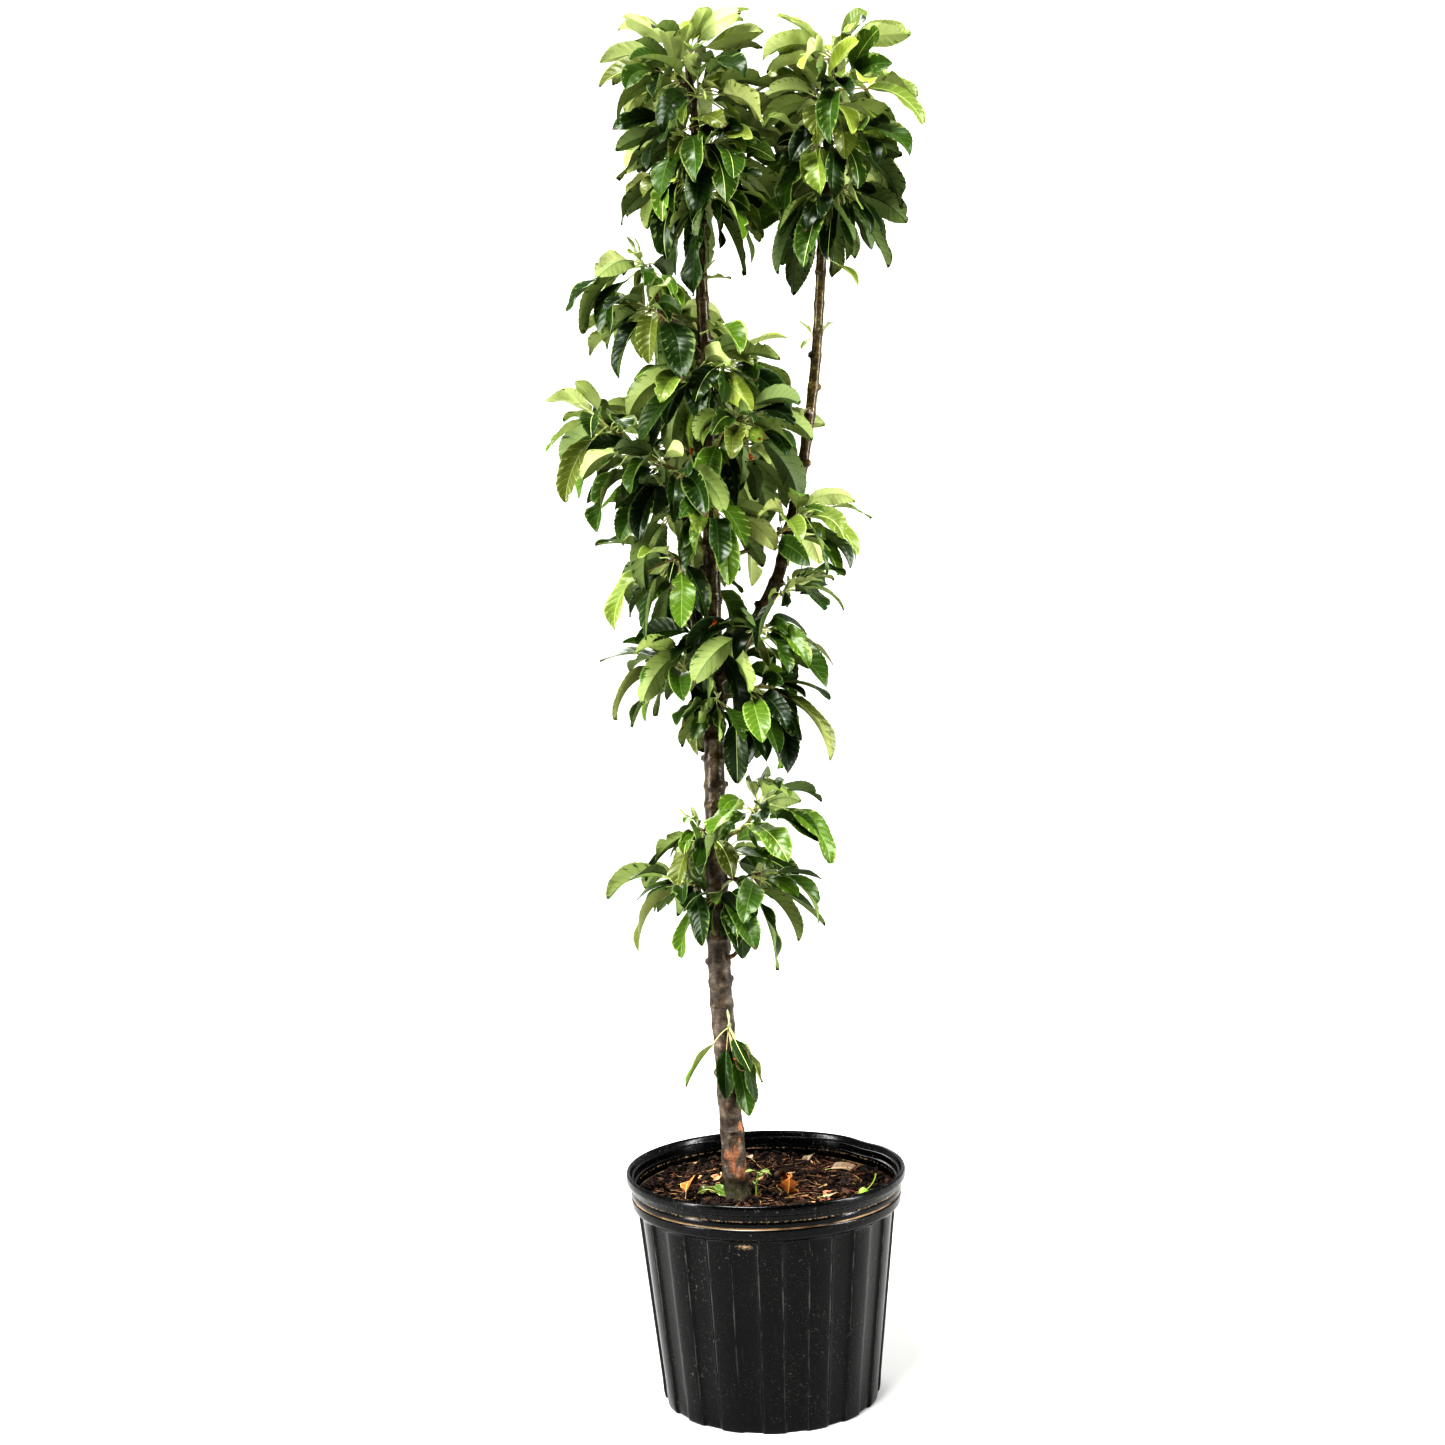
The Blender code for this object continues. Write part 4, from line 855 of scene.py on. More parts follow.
spurs = [Spur(*row) for row in (
    ("leader_crest", "trunk", None, 0, 0.010, 85, 12, 180, 0, "crest", 32, 9, 60),
    ("leader_upper_left", "trunk", 1.428, 185, 0.016, 40, 9, 100, 0, "arching", 44, 9, 17),
    ("leader_upper_front", "trunk", 1.412, 300, 0.014, 35, 9, 95, 0, "arching", 2, 9, 26),
    ("leader_upper_back", "trunk", 1.420, 65, 0.016, 35, 5, 95, 0, "arching", 47, 9, 50),
    ("leader_middle_left", "trunk", 1.372, 215, 0.016, 25, 9, 95, 0, "drooping", 53, 10, 51),
    ("leader_middle_right", "trunk", 1.360, 345, 0.018, 25, 9, 95, 0, "drooping", 33, 10, 19),
    ("leader_middle_back", "trunk", 1.366, 100, 0.018, 25, 7, 90, 0, "drooping", 15, 10, 15),
    ("leader_lower_left", "trunk", 1.322, 190, 0.018, 30, 8, 90, 0, "drooping", 54, 10, 15),
    ("leader_lower_front", "trunk", 1.308, 310, 0.020, 24, 8, 90, 0, "hanging", 59, 9, 61),
    ("leader_lower_back", "trunk", 1.315, 65, 0.020, 20, 6, 90, 0, "hanging", 9, 9, 46),
    ("right_crest", "right_bough", None, 0, 0.010, 88, 10, 180, 0, "crest", 44, 9, 33),
    ("right_upper_outer", "right_bough", 1.415, 350, 0.015, 35, 8, 100, 0, "arching", 25, 9, 19),
    ("right_upper_front", "right_bough", 1.402, 225, 0.014, 35, 9, 95, 0, "arching", 1, 9, 47),
    ("right_upper_back", "right_bough", 1.408, 110, 0.015, 35, 5, 95, 0, "arching", 15, 8, 30),
    ("right_middle_outer", "right_bough", 1.362, 320, 0.018, 25, 9, 95, 0, "drooping", 2, 10, 70),
    ("right_middle_inner", "right_bough", 1.356, 200, 0.018, 25, 9, 90, 0, "drooping", 55, 10, 29),
    ("right_middle_back", "right_bough", 1.350, 80, 0.018, 25, 7, 95, 0, "drooping", 44, 10, 39),
    ("right_lower_outer", "right_bough", 1.312, 350, 0.018, 15, 7, 90, 0, "hanging", 9, 9, 28),
    ("right_lower_front", "right_bough", 1.306, 240, 0.018, 15, 8, 90, 0, "hanging", 48, 9, 61),
    ("right_lower_back", "right_bough", 1.300, 120, 0.018, 15, 5, 90, 0, "hanging", 12, 9, 28),
    ("mid_left_tip", "mid_left_branch", None, 185, 0.016, 45, 8, 130, 0, "drooping", 37, 10, 20),
    ("mid_left_outer", "mid_left_branch", 1.190, 205, 0.018, 10, 9, 95, 0, "drooping", 53, 10, 65),
    ("mid_left_back", "mid_left_branch", 1.186, 95, 0.020, 15, 6, 90, 0, "drooping", 50, 10, 22),
    ("centre_right_upper", "trunk", 1.128, 335, 0.024, 10, 10, 100, 0, "drooping", 55, 10, 20),
    ("centre_front_upper", "trunk", 1.118, 245, 0.022, 15, 9, 95, 0, "drooping", 7, 10, 52),
    ("centre_back_upper", "trunk", 1.110, 85, 0.030, 20, 9, 110, 1, "drooping", 59, 10, 60),
    ("centre_far_left", "trunk", 1.014, 182, 0.106, 32, 17, 108, 2, "arching", 52, 9, 66),
    ("centre_left_front", "trunk", 1.004, 218, 0.056, 30, 14, 110, 1, "drooping", 39, 6, 56),
    ("centre_left_back", "trunk", 1.040, 132, 0.064, 32, 15, 115, 2, "drooping", 33, 10, 51),
    ("centre_fruit", "trunk", 1.062, 326, 0.046, 15, 11, 105, 1, "drooping", 3, 10, 1),
    ("centre_right_back", "trunk", 1.040, 35, 0.036, 25, 9, 110, 1, "drooping", 50, 10, 26),
    ("centre_front_lower", "trunk", 0.978, 275, 0.022, 5, 8, 95, 0, "hanging", 57, 8, 25),
    ("right_arm", "trunk", 0.926, 352, 0.104, 30, 12, 105, 1, "arching", 42, 9, 46),
    ("left_shoot_tip", "left_shoot", None, 200, 0.030, 35, 11, 125, 0, "drooping", 14, 5, 34),
    ("left_shoot_side", "left_shoot", 0.925, 215, 0.014, 10, 7, 90, 0, "hanging", 25, 6, 10),
    ("back_arm", "trunk", 0.905, 120, 0.052, 25, 10, 120, 2, "drooping", 48, 10, 61),
    ("bough_outer", "right_bough", 0.884, 340, 0.014, 35, 5, 90, 0, "arching", 7, 8, 21),
    ("bough_front", "right_bough", 0.846, 290, 0.018, 20, 9, 105, 0, "drooping", 18, 10, 47),
    ("fork_front", "trunk", 0.836, 250, 0.020, 25, 10, 100, 0, "drooping", 50, 7, 21),
    ("fork_left", "trunk", 0.800, 190, 0.030, 25, 10, 105, 1, "arching", 40, 9, 61),
    ("fork_back", "trunk", 0.800, 80, 0.034, 25, 9, 115, 1, "drooping", 35, 10, 44),
    ("fork_right", "trunk", 0.776, 340, 0.046, 20, 10, 90, 0, "hanging", 47, 9, 11),
    ("fork_lower_front", "trunk", 0.775, 275, 0.014, 5, 4, 90, 0, "hanging", 24, 9, 61),
    ("lower_right_arm", "trunk", 0.626, 352, 0.056, 52, 11, 120, 1, "arching", 55, 9, 36),
    ("lower_right_side", "trunk", 0.578, 340, 0.040, 15, 7, 85, 0, "hanging", 27, 8, 66),
    ("lower_left", "trunk", 0.572, 192, 0.034, 15, 7, 90, 0, "drooping", 24, 8, 54),
    ("lower_left_upper", "trunk", 0.632, 215, 0.010, 25, 5, 80, 0, "hanging", 7, 9, 5),
    ("lower_front", "trunk", 0.566, 275, 0.014, 10, 3, 80, 0, "hanging", 45, 9, 35),
    ("lower_back", "trunk", 0.592, 95, 0.034, 25, 8, 110, 1, "drooping", 22, 10, 41),
    ("low_twig", "trunk", 0.416, 285, 0.012, 40, 5, 85, 0, "limp", 47, 0, 63),
)]


def loft(rings):
    points, faces, starts = [], [], []
    for ring in rings:
        starts.append(len(points))
        points.extend(ring)
    for (low, ring), (high, following) in zip(zip(starts, rings), zip(starts[1:], rings[1:])):
        count = len(ring)
        for i in range(count):
            j = (i + 1) % count
            if len(following) == 1:
                faces.append((low + i, low + j, high))
            else:
                faces.append((low + i, low + j, high + j, high + i))
    faces.append(tuple(reversed(range(len(rings[0])))))
    if len(rings[-1]) > 1:
        faces.append(tuple(range(starts[-1], len(points))))
    return points, faces


def bladeWay(leaf, share):
    return heading(leaf.azimuth + leaf.swerve * share, leaf.lift - leaf.fall * share)


def leafFrame(leaf, way, share):
    turn = math.radians(leaf.azimuth + leaf.swerve * share)
    level = Vector((-math.sin(turn), math.cos(turn), 0))
    above = way.cross(level)
    roll = math.radians(leaf.roll)
    side = level * math.cos(roll) + above * math.sin(roll)
    return side, above * math.cos(roll) - level * math.sin(roll)


def bladeSpine(leaf, shares):
    point = leaf.root + heading(leaf.azimuth, leaf.lift) * leaf.stalk
    steps = growth["bladeSteps"]
    step = leaf.length / steps
    walked, found = 0.0, []
    for share in shares:
        while walked < share * steps - 1e-6:
            part = min(1.0, share * steps - walked)
            point = point + bladeWay(leaf, (walked + part / 2) / steps) * step * part
            walked += part
        way = bladeWay(leaf, share)
        side, upper = leafFrame(leaf, way, share)
        found.append((point, way, side, upper))
    return found


def keeledRing(point, side, upper, halfWidth, depth, swell):
    top = point + upper * (swell + depth / 3)
    return [top + side * halfWidth, top - side * halfWidth, point - upper * (depth * 2 / 3 + swell)]


def leafRings(leaf, swell=0.0, start=0.0):
    out = heading(leaf.azimuth, leaf.lift)
    side, upper = leafFrame(leaf, out, 0)
    keel = leaf.length * growth["keel"]
    thin = growth["stalkRadius"]
    rings = []
    for share in (start, 1.0):
        place = leaf.root + out * leaf.stalk * share
        rings.append(keeledRing(place, side, upper, thin + swell, thin * 1.6, swell))
    stations = growth["archedStations"] if leaf.fall > growth["archedFall"] else growth["flatStations"]
    spine = bladeSpine(leaf, (*(share for share, _ in stations), 1.0 + swell / leaf.length))
    for (point, _, side, upper), (_, spread) in zip(spine, stations):
        rings.append(keeledRing(point, side, upper, leaf.width / 2 * spread + swell, keel, swell))
    rings.append([spine[-1][0]])
    return rings


class Crown:
    # what has been grown so far, for finding where a new leaf is free
    def __init__(self, trees):
        self.limbs = list(trees.values())
        self.taken = []

    def add(self, owner, points, faces):
        middle = sum(points, Vector()) / len(points)
        reach = max((point - middle).length for point in points)
        self.taken.append((owner, middle, reach, BVHTree.FromPolygons(points, faces)))

    def isFree(self, rings, owner=None):
        points, faces = loft(rings)
        tree = BVHTree.FromPolygons(points, faces)
        if any(tree.overlap(limb) for limb in self.limbs):
            return False
        middle = sum(points, Vector()) / len(points)
        reach = max((point - middle).length for point in points)
        for grower, centre, radius, other in self.taken:
            if grower == owner or (centre - middle).length > reach + radius:
                continue
            if tree.overlap(other):
                return False
        return True


def spurFoot(spur, limb, tree):
    route = routeThrough(limb.knots, limb.rings)
    if spur.height is None:
        way = tangents(route)[-1]
        return route[-1] + way * growth["clearance"], way
    centre = interpolate([(point.z, point) for point in route], spur.height)
    out = heading(spur.azimuth, 0)
    outside = centre + out * limb.widths[0][1] * 2
    hit, normal, _, _ = tree.ray_cast(outside, -out)
    return hit + normal * growth["clearance"], normal


def stemRoutes(spur, foot, way, rng):
    last = growth["stemPoints"] - 1

    def grown(start, length, azimuth, rise, firstWay):
        points, step = [start], length / last
        for i in range(1, last + 1):
            share = min(1.0, growth["bend"] * i / last)
            points.append(points[-1] + firstWay.lerp(heading(azimuth, rise), share).normalized() * step)
        return points

    azimuth = spur.azimuth + rng.uniform(-growth["wander"], growth["wander"])
    stem = grown(foot, spur.stem, azimuth, spur.rise, way)
    routes = [stem]
    for twig in range(spur.twigs):
        splay = growth["splay"] * (1 if twig % 2 else -1) * rng.uniform(*growth["splayShare"])
        azimuth, rise = spur.azimuth + splay, spur.rise * growth["twigRise"]
        length = spur.stem * growth["twigShare"]
        routes.append(grown(stem[2 + twig], length, azimuth, rise, heading(azimuth, rise)))
    return routes


def stemRadii(spur, limb, isTwig):
    base, tip = growth["stemRadius"], growth["tipRadius"]
    if spur.height is None:
        base = limb.widths[-1][1] / 2
    elif spur.stem > growth["longStem"]:
        base = growth["stemRadius"] * growth["longGirth"]
    if isTwig:
        base = tip
    last = growth["stemPoints"] - 1
    return [base + (tip - base) * i / last for i in range(last + 1)]


def sprout(spur, routes, index, rng):
    habit = habits[spur.habit]
    route = routes[index % len(routes)]
    along = (index + 0.5) / spur.leaves
    low, high = growth["leafZone"]
    place = low + (high - low) * (along * 0.85 + 0.15 * rng.random())
    around = (index * growth["golden"] + rng.uniform(-growth["fan"], growth["fan"])) % 1 * 2 - 1
    lift = habit.liftLow + (habit.liftHigh - habit.liftLow) * along
    lift += rng.uniform(-growth["lift"], growth["lift"])
    size = growth["footSize"] + (growth["topSize"] - growth["footSize"]) * along
    length = rng.uniform(*growth["bladeLength"]) * habit.size * size
    last = growth["stemPoints"] - 1
    return Leaf(
        interpolate([(i / last, point) for i, point in enumerate(route)], place),
        spur.azimuth + spur.fan * around, lift, length * rng.uniform(*growth["stalk"]), length,
        length * rng.uniform(*growth["bladeWidth"]), habit.fall * rng.uniform(*growth["fall"]),
        rng.gauss(0, growth["roll"]), rng.uniform(-growth["swerve"], growth["swerve"]))


def growLeaves(spur, routes, crown, rng, count, shrink=1.0):
    leaves = []
    for index in range(count):
        for _ in range(growth["tries"]):
            leaf = sprout(spur, routes, index, rng)
            if shrink < 1:
                leaf = leaf._replace(length=leaf.length * shrink, width=leaf.width * shrink)
            rings = leafRings(leaf, growth["room"], growth["freeStalk"])
            if crown.isFree(rings) and crown.isFree(leafRings(leaf)[:2], spur.name):
                crown.add(spur.name, *loft(leafRings(leaf)))
                leaves.append(leaf)
                break
    return leaves


def growCrown():
    trees = {}
    for name in limbs:
        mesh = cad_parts[name].data
        points = [vert.co.copy() for vert in mesh.vertices]
        trees[name] = BVHTree.FromPolygons(points, [tuple(face.vertices) for face in mesh.polygons])
    crown = Crown(trees)
    stems = {}
    for spur in spurs:
        limb = limbs[spur.host]
        foot, way = spurFoot(spur, limb, trees[spur.host])
        routes = stemRoutes(spur, foot, way, random.Random(spur.seed))
        stems[spur.name] = foot, way, routes
        for number, route in enumerate(routes):
            radii = stemRadii(spur, limb, number > 0)
            crown.add(spur.name, *loft(tubeRings(route, radii, growth["stemSides"])))
        if spur.name == growth["fruiting"]:
            middle = routes[0][-1] + fruitWay * (growth["fruitStalk"] + growth["fruitRadius"])
            ball = bmesh.new()
            bmesh.ops.create_icosphere(ball, subdivisions=1, radius=growth["fruitRadius"])
            points = [middle + vert.co for vert in ball.verts]
            crown.add(spur.name, points, [tuple(vert.index for vert in face.verts) for face in ball.faces])
            ball.free()
            start = routes[0][-1] - fruitWay * growth["stalkRadius"]
            crown.add(spur.name, *loft(tubeRings([start, middle], [growth["stalkRadius"]] * 2, 3)))
    grown = {}
    for spur in spurs:
        foot, way, _ = stems[spur.name]
        rng = random.Random(spur.seed)
        routes = stemRoutes(spur, foot, way, rng)
        grown[spur.name] = growLeaves(spur, routes, crown, rng, spur.leaves)
    return crown, stems, grown


def countOf(leavesBySpur):
    return sum(len(leaves) for leaves in leavesBySpur.values())


crown, stems, grown = growCrown()
print("crown grown:", countOf(grown), "leaves")

inner = {
    # smaller leaves among the first ones, and the felted ones on each growing tip
    "size": (0.40, 0.88), "stalk": (0.4, 0.9), "tries": 12, "turn": 32, "lift": (-22, 24), "mostLift": 70,
    "tipCounts": (1, 3), "tipLength": (0.014, 0.030), "tipWidth": (0.24, 0.36), "tipStalk": (0.10, 0.30),
    "tipAhead": 0.002, "tipSplay": 70, "tipRise": (0, 55), "mostTipLift": 82, "tipFall": (-10, 35),
    "tipRoll": 40, "tipSwerve": 20, "tipFree": 0.6,
}


def growInner():
    found = {}
    for spur in spurs:
        rng = random.Random(1000 + spur.innerSeed)
        routes = stems[spur.name][2]
        leaves = found[spur.name] = []
        for _ in range(spur.inner):
            for _ in range(inner["tries"]):
                leaf = sprout(spur, routes, rng.randrange(spur.leaves), rng)
                share = rng.uniform(*inner["size"])
                leaf = leaf._replace(
                    length=leaf.length * share, width=leaf.width * share,
                    stalk=leaf.stalk * rng.uniform(*inner["stalk"]),
                    azimuth=leaf.azimuth + rng.uniform(-1, 1) * inner["turn"],
                    lift=min(inner["mostLift"], leaf.lift + rng.uniform(*inner["lift"])))
                if crown.isFree(leafRings(leaf, growth["room"], growth["freeStalk"])):
                    crown.add(spur.name, *loft(leafRings(leaf)))
                    leaves.append(leaf)
                    break
    return found


def growTips():
    found = {}
    for spur in spurs:
        rng = random.Random("tips " + spur.name)
        leaves = found[spur.name] = []
        for route in stems[spur.name][2]:
            way = (route[-1] - route[-2]).normalized()
            azimuth, lift = math.degrees(math.atan2(way.y, way.x)), math.degrees(math.asin(way.z))
            for _ in range(rng.randint(*inner["tipCounts"])):
                length = rng.uniform(*inner["tipLength"])
                leaf = Leaf(route[-1] + way * inner["tipAhead"],
                            azimuth + rng.uniform(-inner["tipSplay"], inner["tipSplay"]),
                            min(inner["mostTipLift"], lift + rng.uniform(*inner["tipRise"])),
                            length * rng.uniform(*inner["tipStalk"]), length,
                            length * rng.uniform(*inner["tipWidth"]), rng.uniform(*inner["tipFall"]),
                            rng.gauss(0, inner["tipRoll"]),
                            rng.uniform(-inner["tipSwerve"], inner["tipSwerve"]))
                if crown.isFree(leafRings(leaf, 0, inner["tipFree"])):
                    crown.add(spur.name, *loft(leafRings(leaf)))
                    leaves.append(leaf)
    return found


# nothing more grows between the apple and the viewer
fruitPlace = stems[growth["fruiting"]][2][0][-1] + fruitWay * (growth["fruitStalk"] + growth["fruitRadius"])
sight = [fruitPlace + Vector((0, -0.010, 0)), fruitPlace + Vector((-0.002, -0.120, -0.006))]
crown.add("sight", *loft(tubeRings(sight, [growth["fruitRadius"] * 1.25] * 2, 8)))
innerLeaves = growInner()
tipLeaves = growTips()
print("inner leaves:", countOf(innerLeaves), "tip leaves:", countOf(tipLeaves))

# leaves that show one by one at the edge of the crown: the spur, the twig and station or the point
# on the bark that each starts from, where its tip is, how far it arches in degrees, its stalk and
# width as shares of its length, its roll and its tone
edgeLeaves = (
    ("leader_crest", (0, 4), (0.019, -0.035, 1.502), 35, 0.25, 0.40, 20, "fresh"),
    ("leader_crest", (0, 3), (-0.115, -0.030, 1.499), 40, 0.30, 0.36, -15, "fresh"),
    ("right_crest", (0, 4), (0.031, -0.045, 1.439), 50, 0.30, 0.40, 25, "young"),
    ("right_crest", (0, 4), (0.184, -0.035, 1.472), 30, 0.34, 0.40, -35, "young"),
    ("leader_lower_left", (0, 2), (-0.088, -0.050, 1.238), 30, 0.28, 0.42, 30, "young"),
    ("mid_left_outer", (-0.0420, -0.0325, 1.164), (-0.004, -0.078, 1.133), 60, 0.20, 0.44, -30, "bright"),
    ("mid_left_tip", (0, 4), (-0.166, -0.060, 1.164), 60, 0.30, 0.36, 20, "middle"),
    ("centre_far_left", (2, 4), (-0.187, -0.100, 1.102), 20, 0.30, 0.42, -50, "young"),
    ("centre_far_left", (1, 4), (-0.161, -0.030, 1.100), 70, 0.25, 0.36, 10, "fresh"),
    ("centre_far_left", (2, 4), (-0.205, -0.110, 1.038), 35, 0.28, 0.38, 25, "bright"),
    ("centre_far_left", (2, 3), (-0.188, -0.095, 0.986), 45, 0.30, 0.40, -30, "olive"),
    ("centre_far_left", (0, 3), (-0.158, -0.070, 0.955), 35, 0.45, 0.42, 15, "middle"),
    ("left_shoot_side", (0, 3), (-0.143, -0.085, 0.853), 75, 0.50, 0.34, -20, "fresh"),
    ("left_shoot_side", (0, 4), (-0.093, -0.090, 0.859), 50, 0.25, 0.44, 10, "fresh"),
    ("fork_left", (1, 4), (-0.128, -0.060, 0.748), 40, 0.30, 0.36, 25, "middle"),
    ("right_arm", (0, 4), (0.135, -0.050, 0.957), 55, 0.30, 0.34, -20, "bright"),
    ("right_arm", (0, 4), (0.114, -0.070, 0.915), 75, 0.32, 0.34, 25, "fresh"),
    ("right_arm", (1, 4), (0.081, -0.090, 0.903), 35, 0.30, 0.26, -20, "middle"),
    ("bough_outer", (0, 2), (0.076, -0.070, 0.893), 30, 0.25, 0.40, -35, "young"),
    ("bough_front", (0, 4), (0.063, -0.085, 0.812), 60, 0.30, 0.36, 15, "bright"),
    ("fork_right", (0, 4), (0.080, -0.060, 0.709), 45, 0.38, 0.36, 20, "olive"),
    ("fork_right", (0, 4), (0.048, -0.075, 0.698), 50, 0.25, 0.42, -20, "bright"),
    ("lower_left_upper", (0, 4), (-0.077, -0.060, 0.643), 80, 0.40, 0.38, 10, "bright"),
    ("lower_front", (0, 2), (-0.020, -0.075, 0.645), 70, 0.35, 0.36, -10, "middle"),
    ("lower_right_arm", (0, 4), (0.079, -0.060, 0.598), 70, 0.40, 0.40, 15, "bright"),
    ("lower_right_side", (0, 4), (0.063, -0.070, 0.540), 70, 0.35, 0.38, -10, "middle"),
    ("low_twig", (0, 3), (-0.083, -0.070, 0.362), 25, 0.45, 0.32, 30, "bright"),
    ("low_twig", (0, 4), (-0.010, -0.085, 0.347), 30, 0.55, 0.50, -30, "dark"),
    ("leader_lower_left", (-0.0395, -0.0300, 1.222), (-0.008, -0.045, 1.219), 25, 0.20, 0.34, 10, "fresh"),
    ("leader_lower_left", (-0.0385, -0.0300, 1.226), (-0.024, -0.042, 1.240), 15, 0.25, 0.40, -20, "felted"),
    ("leader_lower_left", (-0.0440, -0.0295, 1.221), (-0.058, -0.044, 1.232), 25, 0.25, 0.34, 20, "fresh"),
    ("right_lower_outer", (0.0935, -0.0250, 1.240), (0.126, -0.045, 1.207), 45, 0.50, 0.40, 10, "fresh"),
    ("right_lower_front", (0.0775, -0.0262, 1.160), (0.063, -0.045, 1.172), 20, 0.20, 0.40, -20, "young"),
    ("right_lower_front", (0.0778, -0.0268, 1.157), (0.064, -0.045, 1.143), 40, 0.20, 0.36, 15, "fresh"),
    ("right_lower_front", (0.0870, -0.0262, 1.162), (0.099, -0.044, 1.171), 30, 0.20, 0.40, 15, "felted"),
    ("lower_front", (-0.0196, -0.0500, 0.5107), (-0.0109, -0.0600, 0.5541), 20, 0.45, 0.40, 60, "felted"),
    ("lower_front", (-0.0196, -0.0500, 0.5107), (-0.0175, -0.0620, 0.5471), 20, 0.45, 0.44, -20, "felted"),
    ("lower_front", (-0.0196, -0.0500, 0.5107), (0.0002, -0.0580, 0.5319), 30, 0.45, 0.40, -15, "fresh"),
    ("lower_front", (-0.0196, -0.0500, 0.5107), (-0.0049, -0.0620, 0.5058), 60, 0.35, 0.38, 10, "olive"),
)


def leafTo(root, tip, fall, stalkShare, widthShare, roll):
    # the leaf whose arching blade starts at one point and ends at the other
    reach, bend = tip - root, math.radians(fall)
    ahead, down = stalkShare + math.sin(bend) / bend, (math.cos(bend) - 1) / bend
    level = math.hypot(reach.x, reach.y)
    length = math.hypot(level, reach.z) / math.hypot(ahead, down)
    lift = math.degrees(math.atan2(reach.z, level) - math.atan2(down, ahead))
    azimuth = math.degrees(math.atan2(reach.y, reach.x))
    return Leaf(root, azimuth, lift, length * stalkShare, length, length * widthShare, fall, roll, 0)


# where a leaf's place is taken it is tried again, each time further off: metres and degrees
loosening = {"tries": 40, "aside": 0.008, "depth": (-0.05, 0.02), "fall": 30, "leastFall": 10, "roll": 45}


def setEdgeLeaves():
    found = {spur.name: [] for spur in spurs}
    rng = random.Random(41)
    aside, bend, turn = loosening["aside"], loosening["fall"], loosening["roll"]
    for name, start, tip, fall, stalkShare, widthShare, roll, tone in edgeLeaves:
        root = Vector(start) if len(start) == 3 else stems[name][2][start[0]][start[1]]
        for attempt in range(loosening["tries"]):
            loose = attempt / loosening["tries"]
            spans = (-aside, aside), loosening["depth"], (-aside, aside)
            shift = Vector([rng.uniform(*span) for span in spans])
            arch = max(loosening["leastFall"], fall + rng.uniform(-bend, bend) * loose)
            leaf = leafTo(root, Vector(tip) + shift * loose, arch, stalkShare, widthShare,
                          roll + rng.uniform(-turn, turn) * loose)
            if crown.isFree(leafRings(leaf, 0, growth["freeStalk"])):
                crown.add(name, *loft(leafRings(leaf)))
                found[name].append((leaf, tone))
                break
    return found


setLeaves = setEdgeLeaves()
print("leaves set at the edge:", countOf(setLeaves), "of", len(edgeLeaves))


def feetOn(limbName):
    return [(stems[spur.name][0], bark["collars"][int(spur.stem > growth["longStem"])])
            for spur in spurs if spur.host == limbName and spur.height is not None]


barkSkin = barkFinish()
for limb in limbs.values():
    makeBark(limb, feetOn(limb.name), barkSkin)
print("bark done")


blade = {
    "veins": 8, "veinHalf": 0.0032, "veinZone": (0.035, 0.93), "slant": 0.17,
    "midrib": (0.00075, 0.00030), "thickness": 0.00042, "ridge": 0.0007,
    "tooth": 0.0006, "quilt": (0.0006, 0.0013), "fold": (12, 48), "wave": (0.0005, 0.0034), "twist": 26,
    "columns": (1.0, 0.88, 0.45), "widthShare": 1.06, "fullLength": 0.07, "sharpOver": 72,
    "waves": (1.0, 2.3), "recurve": (-0.05, 0.14), "steps": 48, "blunt": 0.62, "pinch": (0.18, 0.78),
    "biteReach": (0.03, 0.075), "biteDepth": (0.25, 0.8), "stalkGirths": (1.9, 1.15, 0.95, 0.9, 0.95, 1.05),
    # upper side, underside and veins, from the youngest leaves to the oldest
    "tones": {
        "crest": ("#98A850", "#B4BF84", "#BCC884"),
        "young": ("#929F4A", "#AEB87E", "#B4C07C"),
        "fresh": ("#6C7C38", "#98A26C", "#90A05E"),
        "bright": ("#546C26", "#8E9A5E", "#789048"),
        "olive": ("#565F2A", "#8C925E", "#788048"),
        "middle": ("#3A501C", "#7C8852", "#587038"),
        "dark": ("#263913", "#6C7A4A", "#42592B"),
        "deep": ("#18270C", "#58663C", "#2F4420"),
        "bronze": ("#82705C", "#938168", "#B8A48A"),
        "felted": ("#86915F", "#9CA57C", "#B2B894"),
        "dry": ("#A9682F", "#9C6634", "#CDA468"),
    },
    # how many of each a habit has, and a darker deal, a painted shade, for the lower crown and the fork
    "deals": {
        "crest": (("crest", 7), ("young", 3), ("fresh", 2), ("dark", 1)),
        "arching": (("young", 3), ("fresh", 4), ("bright", 3), ("olive", 2), ("middle", 2), ("dark", 3)),
        "drooping": (("young", 1), ("fresh", 3), ("bright", 3), ("olive", 2), ("middle", 3), ("dark", 4),
                     ("deep", 2)),
        "hanging": (("fresh", 1), ("bright", 2), ("olive", 2), ("middle", 3), ("dark", 4), ("deep", 2)),
        "paintedShade": (("bright", 3), ("olive", 2), ("middle", 4), ("dark", 5), ("deep", 3)),
        "limp": (("middle", 2), ("dark", 3)),
    },
}
toneNames = list(blade["tones"])


BladeForm = namedtuple("BladeForm", "shares quads parts caps veins")


